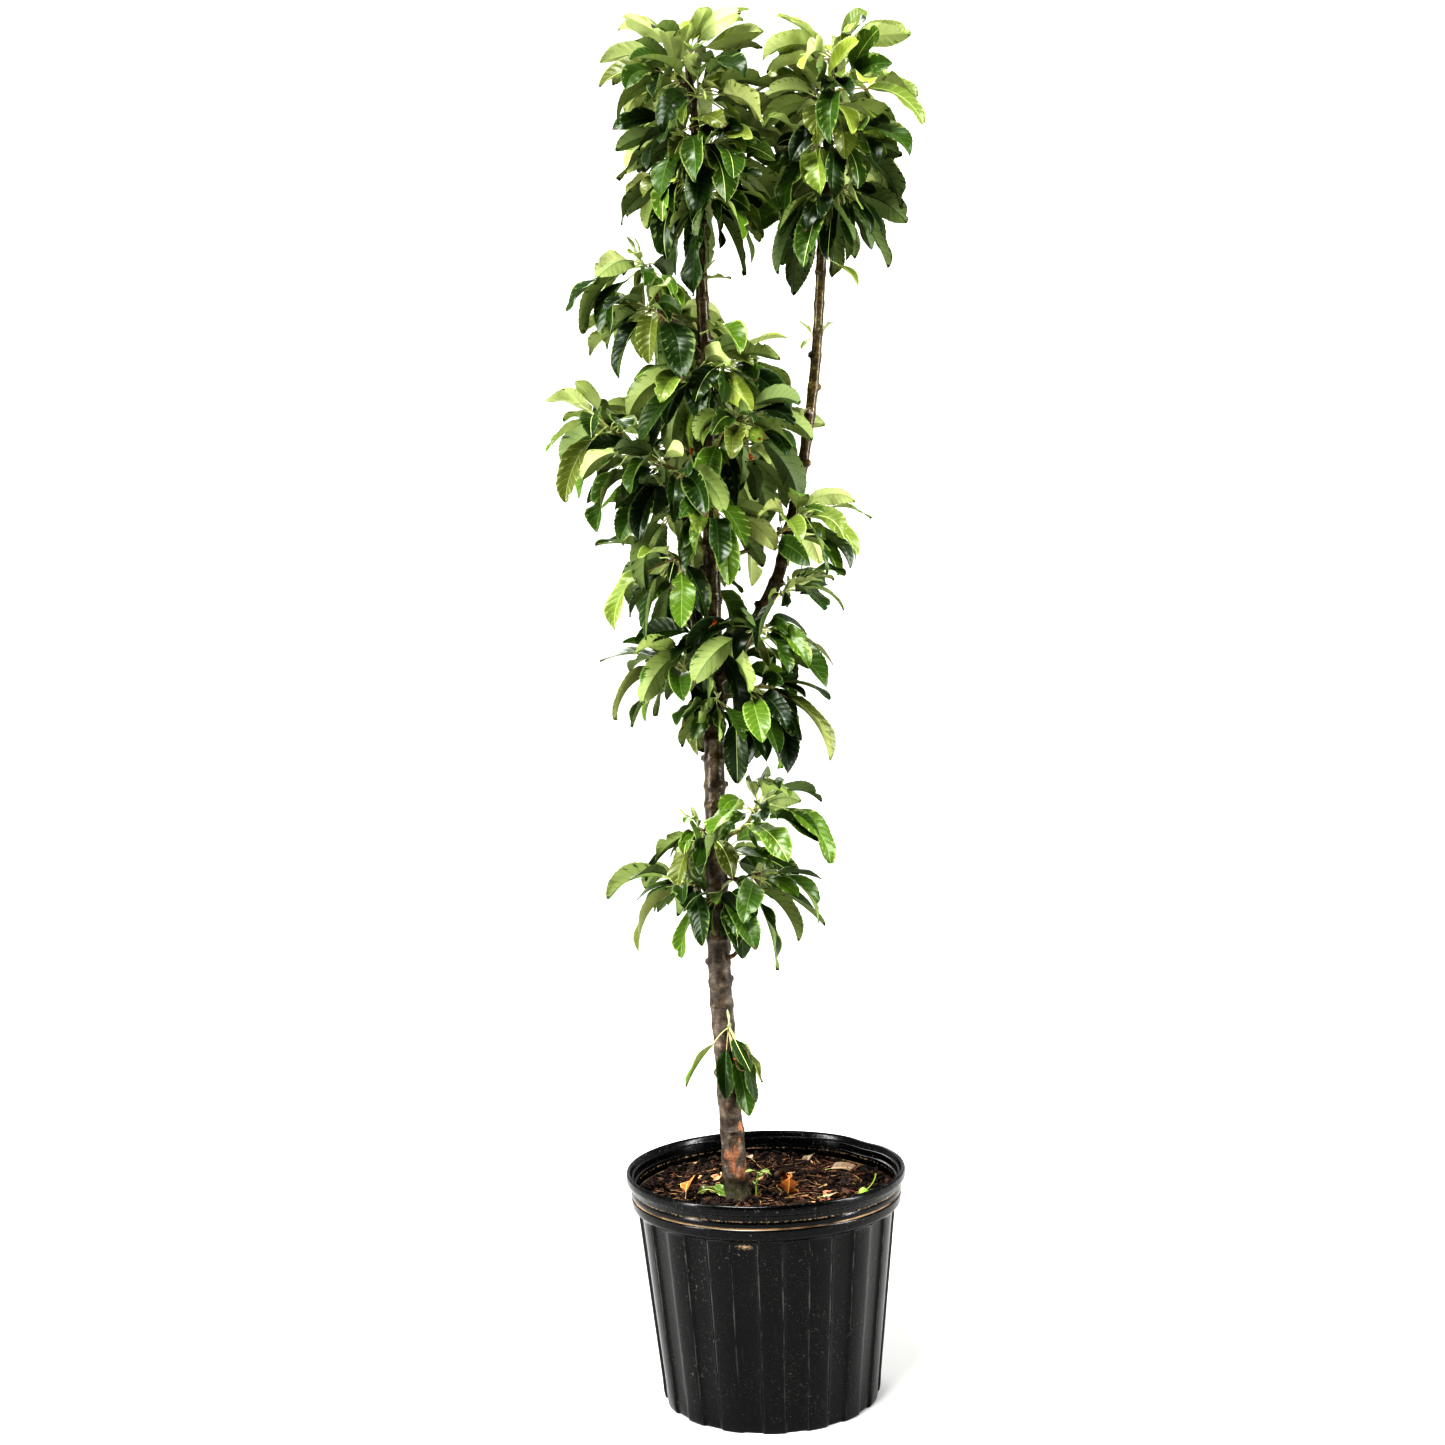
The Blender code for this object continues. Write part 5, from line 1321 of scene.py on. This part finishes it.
def bladeForm(veins, rowsBetween):
    # corner indices shared by leaves of one fineness, with which part of a leaf each face is:
    # 0 upper side, 1 underside, 2 side vein, 3 midrib, 4 tip, 5 midrib beneath, 6 margin
    low, high = blade["veinZone"]
    period = (high - low) / veins
    shares, veinStrips = [0.0], set()
    for vein in range(veins):
        centre = low + period * (vein + 0.4)
        veinStrips.add(len(shares))
        shares += [centre - blade["veinHalf"], centre + blade["veinHalf"]]
        shares += [centre + period * share for share in rowsBetween]
    shares = np.array([*shares, 0.965, 1.0])
    rows, top, under = len(shares), 8, 5

    def upperAt(row, column):
        return row * top + column

    def underAt(row, column):
        return rows * top + row * under + column

    def rimAt(row):
        # round the underside, from one margin to the other
        return [upperAt(row, 0), *(underAt(row, c) for c in range(under)), upperAt(row, top - 1)]

    quads, parts = [], []
    for row in range(rows - 1):
        here, onward, atTip = rimAt(row), rimAt(row + 1), row >= rows - 3
        for column in range(top - 1):
            quads.append((upperAt(row, column), upperAt(row, column + 1),
                          upperAt(row + 1, column + 1), upperAt(row + 1, column)))
            plain = 6 if column in (0, 6) else 2 if row in veinStrips else 0
            parts.append(3 if column == 3 else 4 if atTip else plain)
        for column in range(under + 1):
            quads.append((here[column + 1], here[column], onward[column], onward[column + 1]))
            parts.append(5 if column in (2, 3) else 4 if atTip else 2 if row in veinStrips else 1)
    caps = [[upperAt(row, c) for c in range(top)] + [underAt(row, c) for c in reversed(range(under))]
            for row in (0, rows - 1)]
    return BladeForm(shares, np.array(quads), np.array(parts), np.array([caps[0][::-1], caps[1]]), veins)


fullBlade = bladeForm(blade["veins"], (0.35, 0.68))
smallBlade = bladeForm(5, (0.5,))


def outline(share):
    # half width of an apple blade as a share of its widest: rounded at the foot, with a short point
    bent = np.clip(share, 0, 1) ** 0.92
    full = (4 * bent * (1 - bent)) ** blade["blunt"]
    pinch, pinchFrom = blade["pinch"]
    return full * (1 - pinch * smoothStep(pinchFrom, 1.0, bent))


def bladePoints(leaf, form, rng, fold, bites, waveScale):
    shares = form.shares
    fine = np.linspace(0, 1.0, blade["steps"] + 1)
    turn = np.radians(leaf.azimuth + leaf.swerve * fine)
    lift = np.radians(leaf.lift - leaf.fall * fine)
    way = np.stack([np.cos(lift) * np.cos(turn), np.cos(lift) * np.sin(turn), np.sin(lift)], 1)
    start = np.array(leaf.root + heading(leaf.azimuth, leaf.lift) * leaf.stalk)
    steps = (way[1:] + way[:-1]) / 2 * leaf.length / blade["steps"]
    spine = np.concatenate([[start], start + np.cumsum(steps, axis=0)])
    level = np.stack([-np.sin(turn), np.cos(turn), 0 * turn], 1)
    above = np.cross(way, level)
    roll = np.radians(leaf.roll + rng.gauss(0, blade["twist"]) * fine ** 1.5)[:, None]
    side = level * np.cos(roll) + above * np.sin(roll)
    upper = above * np.cos(roll) - level * np.sin(roll)

    foldAngle = math.radians(rng.uniform(*blade["fold"]) if fold is None else fold)
    quilt = rng.uniform(*blade["quilt"]) * leaf.length / blade["fullLength"]
    wave = rng.uniform(*blade["wave"]) * leaf.length / blade["fullLength"] * waveScale
    waves, phases = rng.uniform(*blade["waves"]), (rng.uniform(0, 6.3), rng.uniform(0, 6.3))
    recurve = rng.uniform(*blade["recurve"])
    low, high = blade["veinZone"]
    period = (high - low) / form.veins
    rows = len(shares)
    teeth = np.where(np.arange(rows) % 2 == 0, 1.0, -0.6) * blade["tooth"] * leaf.length / blade["fullLength"]
    teeth[[0, -1]] = 0
    notch = {1: np.ones(rows), -1: np.ones(rows)}
    for _ in range(bites):
        centre = rng.randrange(rows // 5, rows - 3)
        reach, deep = rng.uniform(*blade["biteReach"]) * rows, rng.uniform(*blade["biteDepth"])
        notch[rng.choice((1, -1))] *= 1 - deep * bump((np.arange(rows) - centre) / reach)

    def onLine(vectors, share):
        return np.stack([np.interp(share, fine, vectors[:, k]) for k in range(3)], 1)

    def across(sign, reach, beneath):
        # one line of points along the blade: reach is 0 on the midrib and 1 at the margin
        share = shares + blade["slant"] * reach * 4 * shares * (1 - shares)
        spread = outline(share) * leaf.width / 2 * blade["widthShare"]
        rib = blade["midrib"][0] + (blade["midrib"][1] - blade["midrib"][0]) * shares
        edge = np.maximum(spread, rib * 1.05) * notch[sign]
        edge = np.maximum(edge + (teeth if reach == 1 else 0) * outline(shares), rib * 1.05)
        aside = rib + (edge - rib) * reach
        curl = foldAngle * (1 - 0.35 * shares)
        between = ((shares - low) / period - 0.4) % 1
        pucker = quilt * np.sin(np.pi * between) ** 0.8 * 4 * reach * (1 - reach) * outline(share)
        edgeWave = wave * np.sin(waves * math.tau * share + phases[0 if sign > 0 else 1]) * reach ** 2
        rolled = recurve * leaf.width / 2 * reach ** 2 * outline(share)
        lifted = aside * np.sin(curl) - rolled + pucker + edgeWave
        flat = aside * np.cos(curl)
        if beneath:
            lifted = lifted - blade["thickness"]
        aside, above = (sign * flat)[:, None], lifted[:, None]
        return onLine(spine, share) + onLine(side, share) * aside + onLine(upper, share) * above

    top = [across(1, reach, False) for reach in (*blade["columns"], 0.0)]
    top += [across(-1, reach, False) for reach in (0.0, *blade["columns"][::-1])]
    ridge = blade["ridge"] * (1 - 0.75 * shares)
    crest = onLine(spine, shares) - onLine(upper, shares) * (blade["thickness"] + ridge)[:, None]
    under = [across(1, 0.5, True), across(1, 0.0, True), crest, across(-1, 0.0, True), across(-1, 0.5, True)]
    return np.concatenate([np.stack(top, 1).reshape(-1, 3), np.stack(under, 1).reshape(-1, 3)])


def leafFinishes():
    # an apple leaf's upper side is waxy and glossy, its underside felted and matt, its veins pale
    finishes = []
    for name in toneNames:
        upper, under, vein = blade["tones"][name]
        gloss = {"crest": 0.42, "young": 0.42, "felted": 0.75, "dry": 0.7}.get(name, 0.33)
        finishes.append(newFinish(f"leaf_{name}_upper", upper, gloss, Specular_IOR_Level=0.42))
        finishes.append(newFinish(f"leaf_{name}_under", under, 0.62))
        finishes.append(newFinish(f"leaf_{name}_vein", vein, 0.5))
    finishes.append(newFinish("leaf_stalk", "#B9C383", 0.48))
    finishes.append(newFinish("leaf_stalk_flushed", "#A48F6A", 0.5))
    finishes.append(newFinish("leaf_tip_brown", "#4A3420", 0.7))
    return finishes


def addLeaf(heap, leaf, tone, rng, form, bites=0, brownTip=False, fold=None, waveScale=1.0):
    points = bladePoints(leaf, form, rng, fold, bites, waveScale)
    base = toneNames.index(tone) * 3
    stalkFinish = len(toneNames) * 3
    rib = base + 2 if rng.random() < 0.8 else stalkFinish
    upperTip = stalkFinish + 2 if brownTip else base
    # the upper side's margin strip takes the vein or underside tone: partly standing for the felted underside
    # curled over, partly a painted highlight where light catches the edge
    margin = rng.choice((base, base + 2, base + 2, base + 1))
    finish = np.choose(form.parts, (base, base + 1, base + 2, rib, upperTip, base + 2, margin))
    heap.add(points, [(form.quads, finish), (form.caps, rib)])
    out = heading(leaf.azimuth, leaf.lift)
    _, upper = leafFrame(leaf, out, 0)
    end = leaf.root + out * (leaf.stalk + 0.0015) - upper * 0.0004
    sag = Vector((0, 0, 1)) * leaf.stalk * rng.uniform(-0.02, 0.10)
    thin = growth["stalkRadius"] * max(0.5, leaf.length / blade["fullLength"])
    radii = [thin * k for k in blade["stalkGirths"]]
    stalkPoints, faces = tube(bowed(leaf.root, end, sag, len(radii)), radii, 6)
    flushed = rng.random() < 0.22
    heap.add(stalkPoints, faces, stalkFinish + flushed)


regions = {
    "Leader": ("leader_",),
    "RightHead": ("right_crest", "right_upper", "right_middle", "right_lower"),
    "CentreLeft": ("mid_left", "centre_far_left", "centre_left", "left_shoot"),
    "CentreRight": ("centre_right", "centre_front", "centre_back", "centre_fruit", "right_arm", "back_arm"),
    "Fork": ("bough_", "fork_"),
    "Lower": ("lower_", "low_twig"),
}


def dealTone(deal, rng):
    names, weights = zip(*blade["deals"][deal])
    return rng.choices(names, weights)[0]


def makeLeaves(finishes):
    for region, starts in regions.items():
        heap = Heap()
        covered = [spur for spur in spurs if spur.name.startswith(starts)]
        for spur in covered:
            rng = random.Random(spur.name)
            # leaves in the lower crown and the fork take darker tones, a painted shade
            deal = "paintedShade" if region in ("Lower", "Fork") else spur.habit
            for leaf, tone in setLeaves[spur.name]:
                form = smallBlade if leaf.length < 0.035 else fullBlade
                addLeaf(heap, leaf, tone, rng, form, rng.choice((0, 1, 2)), rng.random() < 0.3)
            for leaf in grown[spur.name]:
                bites = rng.choice((0, 0, 0, 1, 1, 2))
                addLeaf(heap, leaf, dealTone(deal, rng), rng, fullBlade, bites, rng.random() < 0.12)
            for leaf in innerLeaves[spur.name]:
                bites = rng.choice((0, 0, 0, 1, 2))
                addLeaf(heap, leaf, dealTone(deal, rng), rng, smallBlade, bites, rng.random() < 0.15)
            for leaf in tipLeaves[spur.name]:
                tone = "crest" if spur.habit == "crest" else rng.choice(("felted", "felted", "fresh"))
                addLeaf(heap, leaf, tone, rng, smallBlade, fold=rng.uniform(30, 65))
        obj = addPiece(f"leaves{region}", heap, finishes)
        obj.data.set_sharp_from_angle(angle=math.radians(blade["sharpOver"]))
        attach(obj, "root")
        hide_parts(*(spur.name for spur in covered))


leafSkins = leafFinishes()
makeLeaves(leafSkins)
print("leaves made")


def spurFinish():
    # short fruiting wood: matt, ringed and grey-brown
    return mottledFinish("spur_bark", ("#3E2E20", "#75604A"), 0.75, 0.005)


def shootFinish():
    # this year's shoots: smooth olive skin under a little down
    return mottledFinish("young_shoot", ("#5A5A30", "#8E8A58"), 0.5, 0.008)


twig = {
    "sunk": (0.0028, 0.0012),     # how far a stem, and a side twig, starts inside its wood
    "step": 0.0013, "sides": 9,
    "footSwell": 0.55, "footReach": 0.0045,
    "rings": ((0.0034, 0.16), (0.0017, 0.05)),   # the bud rings' spacing and how far they swell the twig
    # the bud at its end: distance past the tip, radius
    "bud": ((-0.0010, 0.0013), (0.0012, 0.0021), (0.0032, 0.0022), (0.0056, 0.0013), (0.0074, 0.0002)),
}


def makeTwigs():
    heap = Heap()
    for spur in spurs:
        limb = limbs[spur.host]
        _, way, routes = stems[spur.name]
        for number, route in enumerate(routes):
            radii = stemRadii(spur, limb, number > 0)
            inward = way if number == 0 else (route[1] - route[0]).normalized()
            start = route[0] - inward * twig["sunk"][min(number, 1)]
            fineRoute = routeThrough([start, *route], max(8, int((spur.stem + 0.003) / twig["step"])))
            coarse = [0.0] + [i + 0.4 for i in range(len(route))]
            shares = np.linspace(0, len(route) - 0.6, len(fineRoute))
            thick = np.interp(shares, coarse, [radii[0], *radii])
            walked = np.linspace(0, 1, len(fineRoute)) * spur.stem
            if number == 0 and spur.height is not None:
                thick = thick * (1 + twig["footSwell"] * bump(walked / twig["footReach"]))
            rings = 1
            for spacing, rise in twig["rings"]:
                rings = rings + rise * np.sin(walked / spacing * math.tau)
            isYoung = spur.stem > growth["longStem"] or number > 0
            heap.add(*tube(fineRoute, (thick * rings).tolist(), twig["sides"]), int(isYoung))
            tip, tipWay = route[-1], (route[-1] - route[-2]).normalized()
            bud = [tip + tipWay * ahead for ahead, _ in twig["bud"]]
            heap.add(*tube(bud, [radius for _, radius in twig["bud"]], 8), 2)
    obj = addPiece("spurTwigs", heap, [spurFinish(), shootFinish(), newFinish("felted_bud", "#9AA07C", 0.8)])
    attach(obj, "root")


makeTwigs()
print("twigs made")


fruit = {
    "rows": 28, "around": 32, "dimple": 0.0024, "eye": 0.0016,
    "stalkRadii": (0.0012, 0.0008, 0.0007, 0.0007, 0.0008, 0.0009, 0.0011),
    # where the dried flowers hang: spur, point on its stem, and the way and length of the stalk
    "remains": (("centre_fruit", 3, (0.25, -0.35, -0.90), 0.040),
                ("centre_left_front", 2, (0.30, -0.30, 0.90), 0.026),
                ("lower_right_side", 4, (-0.15, -0.20, -0.95), 0.020),
                ("fork_front", 4, (0.5, -0.5, 0.6), 0.018),
                ("right_middle_inner", 3, (-0.3, -0.8, -0.3), 0.014),
                ("lower_left", 3, (0.2, -0.4, -0.8), 0.016)),
    # a dried stalk curls round under the lowest twig, and another stands on a stub over it
    "dried": (((-0.0314, -0.0560, 0.4081), (-0.0210, -0.0750, 0.4043), (-0.0150, -0.0860, 0.3969),
               (-0.0154, -0.0880, 0.3866), (-0.0208, -0.0880, 0.3814), (-0.0271, -0.0860, 0.3844),
               (-0.0289, -0.0840, 0.3926)),
              ((-0.0196, -0.0500, 0.5097), (-0.0142, -0.0540, 0.5145), (-0.0087, -0.0570, 0.5180))),
    "stub": ((-0.0341, -0.0380, 0.4939), (-0.0275, -0.0420, 0.4977), (-0.0219, -0.0470, 0.5049),
             (-0.0196, -0.0500, 0.5107)),
    # the withered eye: radius, height
    "bulb": ((0.0004, -0.0030), (0.0014, -0.0018), (0.0021, 0.0), (0.0020, 0.0014), (0.0012, 0.0024)),
}


def turned(points, axis):
    # points built along +Z, turned to lie along the axis
    return points @ np.array(Vector((0, 0, 1)).rotation_difference(Vector(axis)).to_matrix()).T


def lathe(profile, around, wobble=None):
    turn = np.linspace(0, math.tau, around, endpoint=False)[None, :]
    radius, height = np.array(profile)[:, 0][:, None], np.array(profile)[:, 1][:, None]
    if wobble is not None:
        radius = radius * (1 + wobble * np.cos(5 * turn) * (radius > 0))
    points = np.stack([radius * np.cos(turn), radius * np.sin(turn), height + 0 * turn], 2)
    return points.reshape(-1, 3), wrap(len(profile), around)


def appleFinish():
    # unripe apple skin: waxy, yellow-green with a dull blush and pale breathing spots 1 mm apart
    made, tree, shader, where = patternedFinish("apple_skin", "#7E9440", 0.32)
    blush = addNode(tree, "TexNoise", inputs={"Vector": where, "Scale": 1 / 0.010, "Detail": 3.0})
    toned = addNode(tree, "ValToRGB", inputs={"Fac": blush},
                    stops=((0.38, "#6E8C38"), (0.55, "#8FA048"), (0.70, "#9A6A3C")))
    spots = addNode(tree, "TexVoronoi", inputs={"Vector": where, "Scale": 1 / 0.0014})
    spotted = addNode(tree, "Math", {"operation": "LESS_THAN"}, {0: spots, 1: 0.20})
    mixed = addNode(tree, "Mix", colours, {"Factor": spotted, 6: toned, 7: "#B9C084"})
    feed(shader, {"Base Color": mixed})
    return made


def appleBall(radius, dimple, eye):
    rows = []
    for i in range(fruit["rows"]):
        angle = math.pi * (0.02 + 0.96 * i / (fruit["rows"] - 1))
        width, height = math.sin(angle) ** 0.92, math.cos(angle)
        height = radius * 0.93 * height - dimple * math.exp(-(width / 0.34) ** 2) * (height > 0)
        height += eye * math.exp(-(width / 0.26) ** 2) * (math.cos(angle) < 0)
        rows.append((radius * width * (1 + 0.02 * math.cos(angle)), height))
    return lathe(rows[::-1], fruit["around"], 0.012)


def sepals(place, axis, size, rng, heap, finish):
    # five dry sepals curling out of the eye
    for i in range(5):
        turn = math.tau * i / 5 + rng.uniform(-0.3, 0.3)
        curl = rng.uniform(0.5, 1.2)
        path = [(out * math.cos(turn), out * math.sin(turn), up)
                for out, up in ((0.2, 0), (0.5, 0.5), (curl, 0.8))]
        route = [Vector(place) + Vector(step) for step in turned(np.array(path) * size, axis)]
        heap.add(*tube(route, [size * 0.22, size * 0.20, size * 0.03], 5), finish)


def makeFruit():
    rng = random.Random(17)
    heap = Heap()
    radius = growth["fruitRadius"]
    tip = stems[growth["fruiting"]][2][0][-1]
    middle = tip + fruitWay * (growth["fruitStalk"] + radius)
    points, faces = appleBall(radius * 0.985, fruit["dimple"], fruit["eye"])
    heap.add(turned(points, -fruitWay) + np.array(middle), faces)
    stalk = bowed(tip - fruitWay * 0.001, middle - fruitWay * (radius - 0.0034), (0.0012, 0, 0.0008), 7)
    heap.add(*tube(stalk, fruit["stalkRadii"], 7), 1)
    sepals(middle + fruitWay * (radius - 0.0022), fruitWay, 0.0022, rng, heap, 2)
    for knots in fruit["dried"]:
        route = routeThrough(knots, 18)
        thick = [0.0009 + 0.0002 * math.sin(3.1 * i) for i in range(15)] + [0.0011, 0.0014, 0.0006]
        heap.add(*tube(route, thick, 7), 4)
        sepals(route[-1], route[-1] - route[-2], 0.0030, rng, heap, 3)
    route = routeThrough(fruit["stub"], 16)
    thick = [0.0026 - 0.0010 * i / 15 + 0.0002 * math.sin(2.2 * i) for i in range(16)]
    heap.add(*tube(route, thick, 9), 4)
    for name, station, way, length in fruit["remains"]:
        start = stems[name][2][0][station]
        way = Vector(way).normalized()
        end = start + way * length
        heap.add(*tube(bowed(start, end, (0, 0, 0.10 * length), 8), [0.0008] * 7 + [0.0011], 6), 1)
        points, faces = lathe(fruit["bulb"], 12)
        heap.add(turned(points, way) + np.array(end + way * 0.0020), faces, 3)
        sepals(end + way * 0.0038, way, 0.0034, rng, heap, 2)
    finishes = [appleFinish(), mottledFinish("fruit_stalk", ("#8C8448", "#A99E66"), 0.55, 0.004),
                mottledFinish("dry_sepal", ("#6B3A1C", "#B5622C"), 0.8, 0.003),
                mottledFinish("dry_fruitlet", ("#8A4A24", "#C06A30"), 0.7, 0.003), spurFinish()]
    obj = addPiece("appleAndFlowerRemains", heap, finishes)
    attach(obj, "root")


makeFruit()
print("fruit made")


litter = {
    # dried leaves: place, azimuth, length, width, how much they curl, lift, tone
    "leaves": (((-0.0850, -0.0300), 80, 0.034, 0.018, 120, 62, "dry"),
               ((0.0225, -0.0640), 265, 0.026, 0.021, -60, 30, "dry"),
               ((0.0240, 0.0040), 110, 0.020, 0.011, 120, 45, "dry"),
               ((-0.0553, -0.0308), 330, 0.030, 0.012, 60, 22, "bright"),
               ((-0.0620, -0.0340), 150, 0.024, 0.011, 70, 30, "olive"),
               ((0.0700, -0.0560), 15, 0.030, 0.011, 40, 8, "bronze"),
               ((0.0860, 0.0560), 20, 0.034, 0.013, 30, 5, "bronze"),
               ((-0.0200, 0.1010), 120, 0.036, 0.014, 40, 10, "bronze"),
               ((0.0540, 0.1060), 250, 0.028, 0.012, 60, 6, "bronze")),
    "fold": 20, "crumple": 2.2,      # degrees, and how much wavier than a live leaf
    "fruitlet": (0.1052, -0.0482), "fruitletRadius": 0.0062,
    "sprout": (-0.0107, -0.0431), "sproutHeight": 0.031,
    "sproutRadii": (0.0011, 0.001, 0.001, 0.0009, 0.0009, 0.0008, 0.0008, 0.0007),
    # the seedling's leaves: how far up, azimuth, lift, length
    "sproutLeaves": ((0.55, 250, 40, 0.012), (0.75, 20, 50, 0.014), (1.0, 200, 30, 0.013),
                     (1.0, 320, 20, 0.016)),
}


def makeLitter():
    rng = random.Random(31)
    heap = Heap()
    for (x, y), azimuth, length, width, fall, lift, tone in litter["leaves"]:
        way = heading(azimuth, 0)
        root = onMix(x, y, 0.0045) - way * length * 0.55
        leaf = Leaf(root, azimuth, lift, length * 0.22, length, width, fall,
                    rng.uniform(-25, 25), rng.uniform(-30, 30))
        addLeaf(heap, leaf, tone, rng, smallBlade, 1, fold=litter["fold"], waveScale=litter["crumple"])
    # a green fruitlet that fell with its stalk on
    x, y = litter["fruitlet"]
    radius = litter["fruitletRadius"]
    place = onMix(x, y, radius * 0.92)
    axis = Vector((0.55, 0.1, 0.65)).normalized()
    points, faces = appleBall(radius, 0.0010, 0.0006)
    green = len(leafSkins)
    heap.add(turned(points, axis) + np.array(place), faces, green)
    stalkEnd = place + axis * radius * 3.4 + Vector((0, 0, 0.004))
    stalk = bowed(place + axis * radius * 0.7, stalkEnd, (0.002, 0, -0.001), 7)
    heap.add(*tube(stalk, [0.0008] * 6 + [0.0012], 6), green)
    # a seedling beside the trunk
    x, y = litter["sprout"]
    foot, tall = onMix(x, y, -0.001), litter["sproutHeight"]
    top = foot + Vector((0.002, -0.003, tall))
    heap.add(*tube(bowed(foot, top, (-0.0015, 0, 0), 8), litter["sproutRadii"], 6), green)
    for share, azimuth, lift, length in litter["sproutLeaves"]:
        leaf = Leaf(foot.lerp(top, share), azimuth, lift, 0.003, length, length * 0.5, 50, 0, 10)
        addLeaf(heap, leaf, "fresh", rng, smallBlade)
    greenSkin = mottledFinish("green_fruitlet", ("#7A9A3C", "#94AC50"), 0.4, 0.006)
    obj = addPiece("fallenBits", heap, [*leafSkins, greenSkin])
    obj.data.set_sharp_from_angle(angle=math.radians(blade["sharpOver"]))
    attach(obj, "root")


makeLitter()
print("litter laid")


stage = {
    "floor": "#CDCDCB", "floorReach": 60, "background": "#FFFFFF", "look": "Very High Contrast",
    "rear": ("#FFFFFF", 0.55), "front": ("#F4F6FF", 0.03),   # how bright the room is behind and before
    "fade": (-0.95, 0.35),                                    # from the front to the rear
    "sun": ((-1.3, -2.0, 4.2), 3.55, 24),                     # from where, strength, degrees across
    # place, aim, width, height, watts
    "lamps": (((-2.4, -1.2, 1.4), (0, 0, 0.8), 0.25, 2.4, 80),
              ((2.3, -0.9, 1.4), (0, 0, 0.8), 0.20, 2.4, 74),
              ((-0.6, 2.4, 2.2), (0, 0, 0.9), 1.8, 1.4, 34)),
}


def setStage():
    mesh = bpy.data.meshes.new("floor")
    reach = stage["floorReach"]
    mesh.from_pydata([(-reach, -reach, 0), (reach, -reach, 0), (reach, reach, 0), (-reach, reach, 0)],
                     [], [(0, 1, 2, 3)])
    floor = bpy.data.objects.new("floor", mesh)
    bpy.context.scene.collection.objects.link(floor)
    mesh.materials.append(newFinish("pale_floor", stage["floor"], 0.9))
    world = bpy.data.worlds.new("studio")
    world.use_nodes = True
    tree = world.node_tree
    # a white room behind the tree and a dim one before it, with a white ground in every picture
    toward = addNode(tree, "SeparateXYZ", inputs={"Vector": addNode(tree, "TexCoord").outputs["Generated"]})
    fadeFrom, fadeTo = stage["fade"]
    behind = addNode(tree, "MapRange", {"interpolation_type": "SMOOTHSTEP"},
                     {"Value": toward.outputs["Y"], "From Min": fadeFrom, "From Max": fadeTo})
    tones = [tuple(c * strength for c in linear(shade)) + (1,)
             for shade, strength in (stage["front"], stage["rear"])]
    room = addNode(tree, "Mix", colours, {"Factor": behind, 6: tones[0], 7: tones[1]})
    seen = addNode(tree, "LightPath").outputs["Is Camera Ray"]
    shown = addNode(tree, "Mix", colours, {"Factor": seen, 6: room, 7: stage["background"]})
    feed(tree.nodes["Background"], {"Color": shown})
    bpy.context.scene.world = world
    for number, (place, aim, width, tall, watts) in enumerate(stage["lamps"]):
        data = bpy.data.lights.new(f"softbox{number + 1}", "AREA")
        data.shape, data.size, data.size_y, data.energy = "RECTANGLE", width, tall, watts
        hang(data, place, aim)
    place, strength, spread = stage["sun"]
    data = bpy.data.lights.new("overhead", "SUN")
    data.energy, data.angle = strength, math.radians(spread)
    hang(data, place, (0, 0, 0))
    shownAs = bpy.context.scene.view_settings
    shownAs.view_transform, shownAs.look = "Standard", stage["look"]


def hang(data, place, aim):
    lamp = bpy.data.objects.new(data.name, data)
    lamp.location = place
    lamp.rotation_euler = (Vector(aim) - Vector(place)).to_track_quat("-Z", "Y").to_euler()
    bpy.context.scene.collection.objects.link(lamp)


setStage()
print("stage lit")
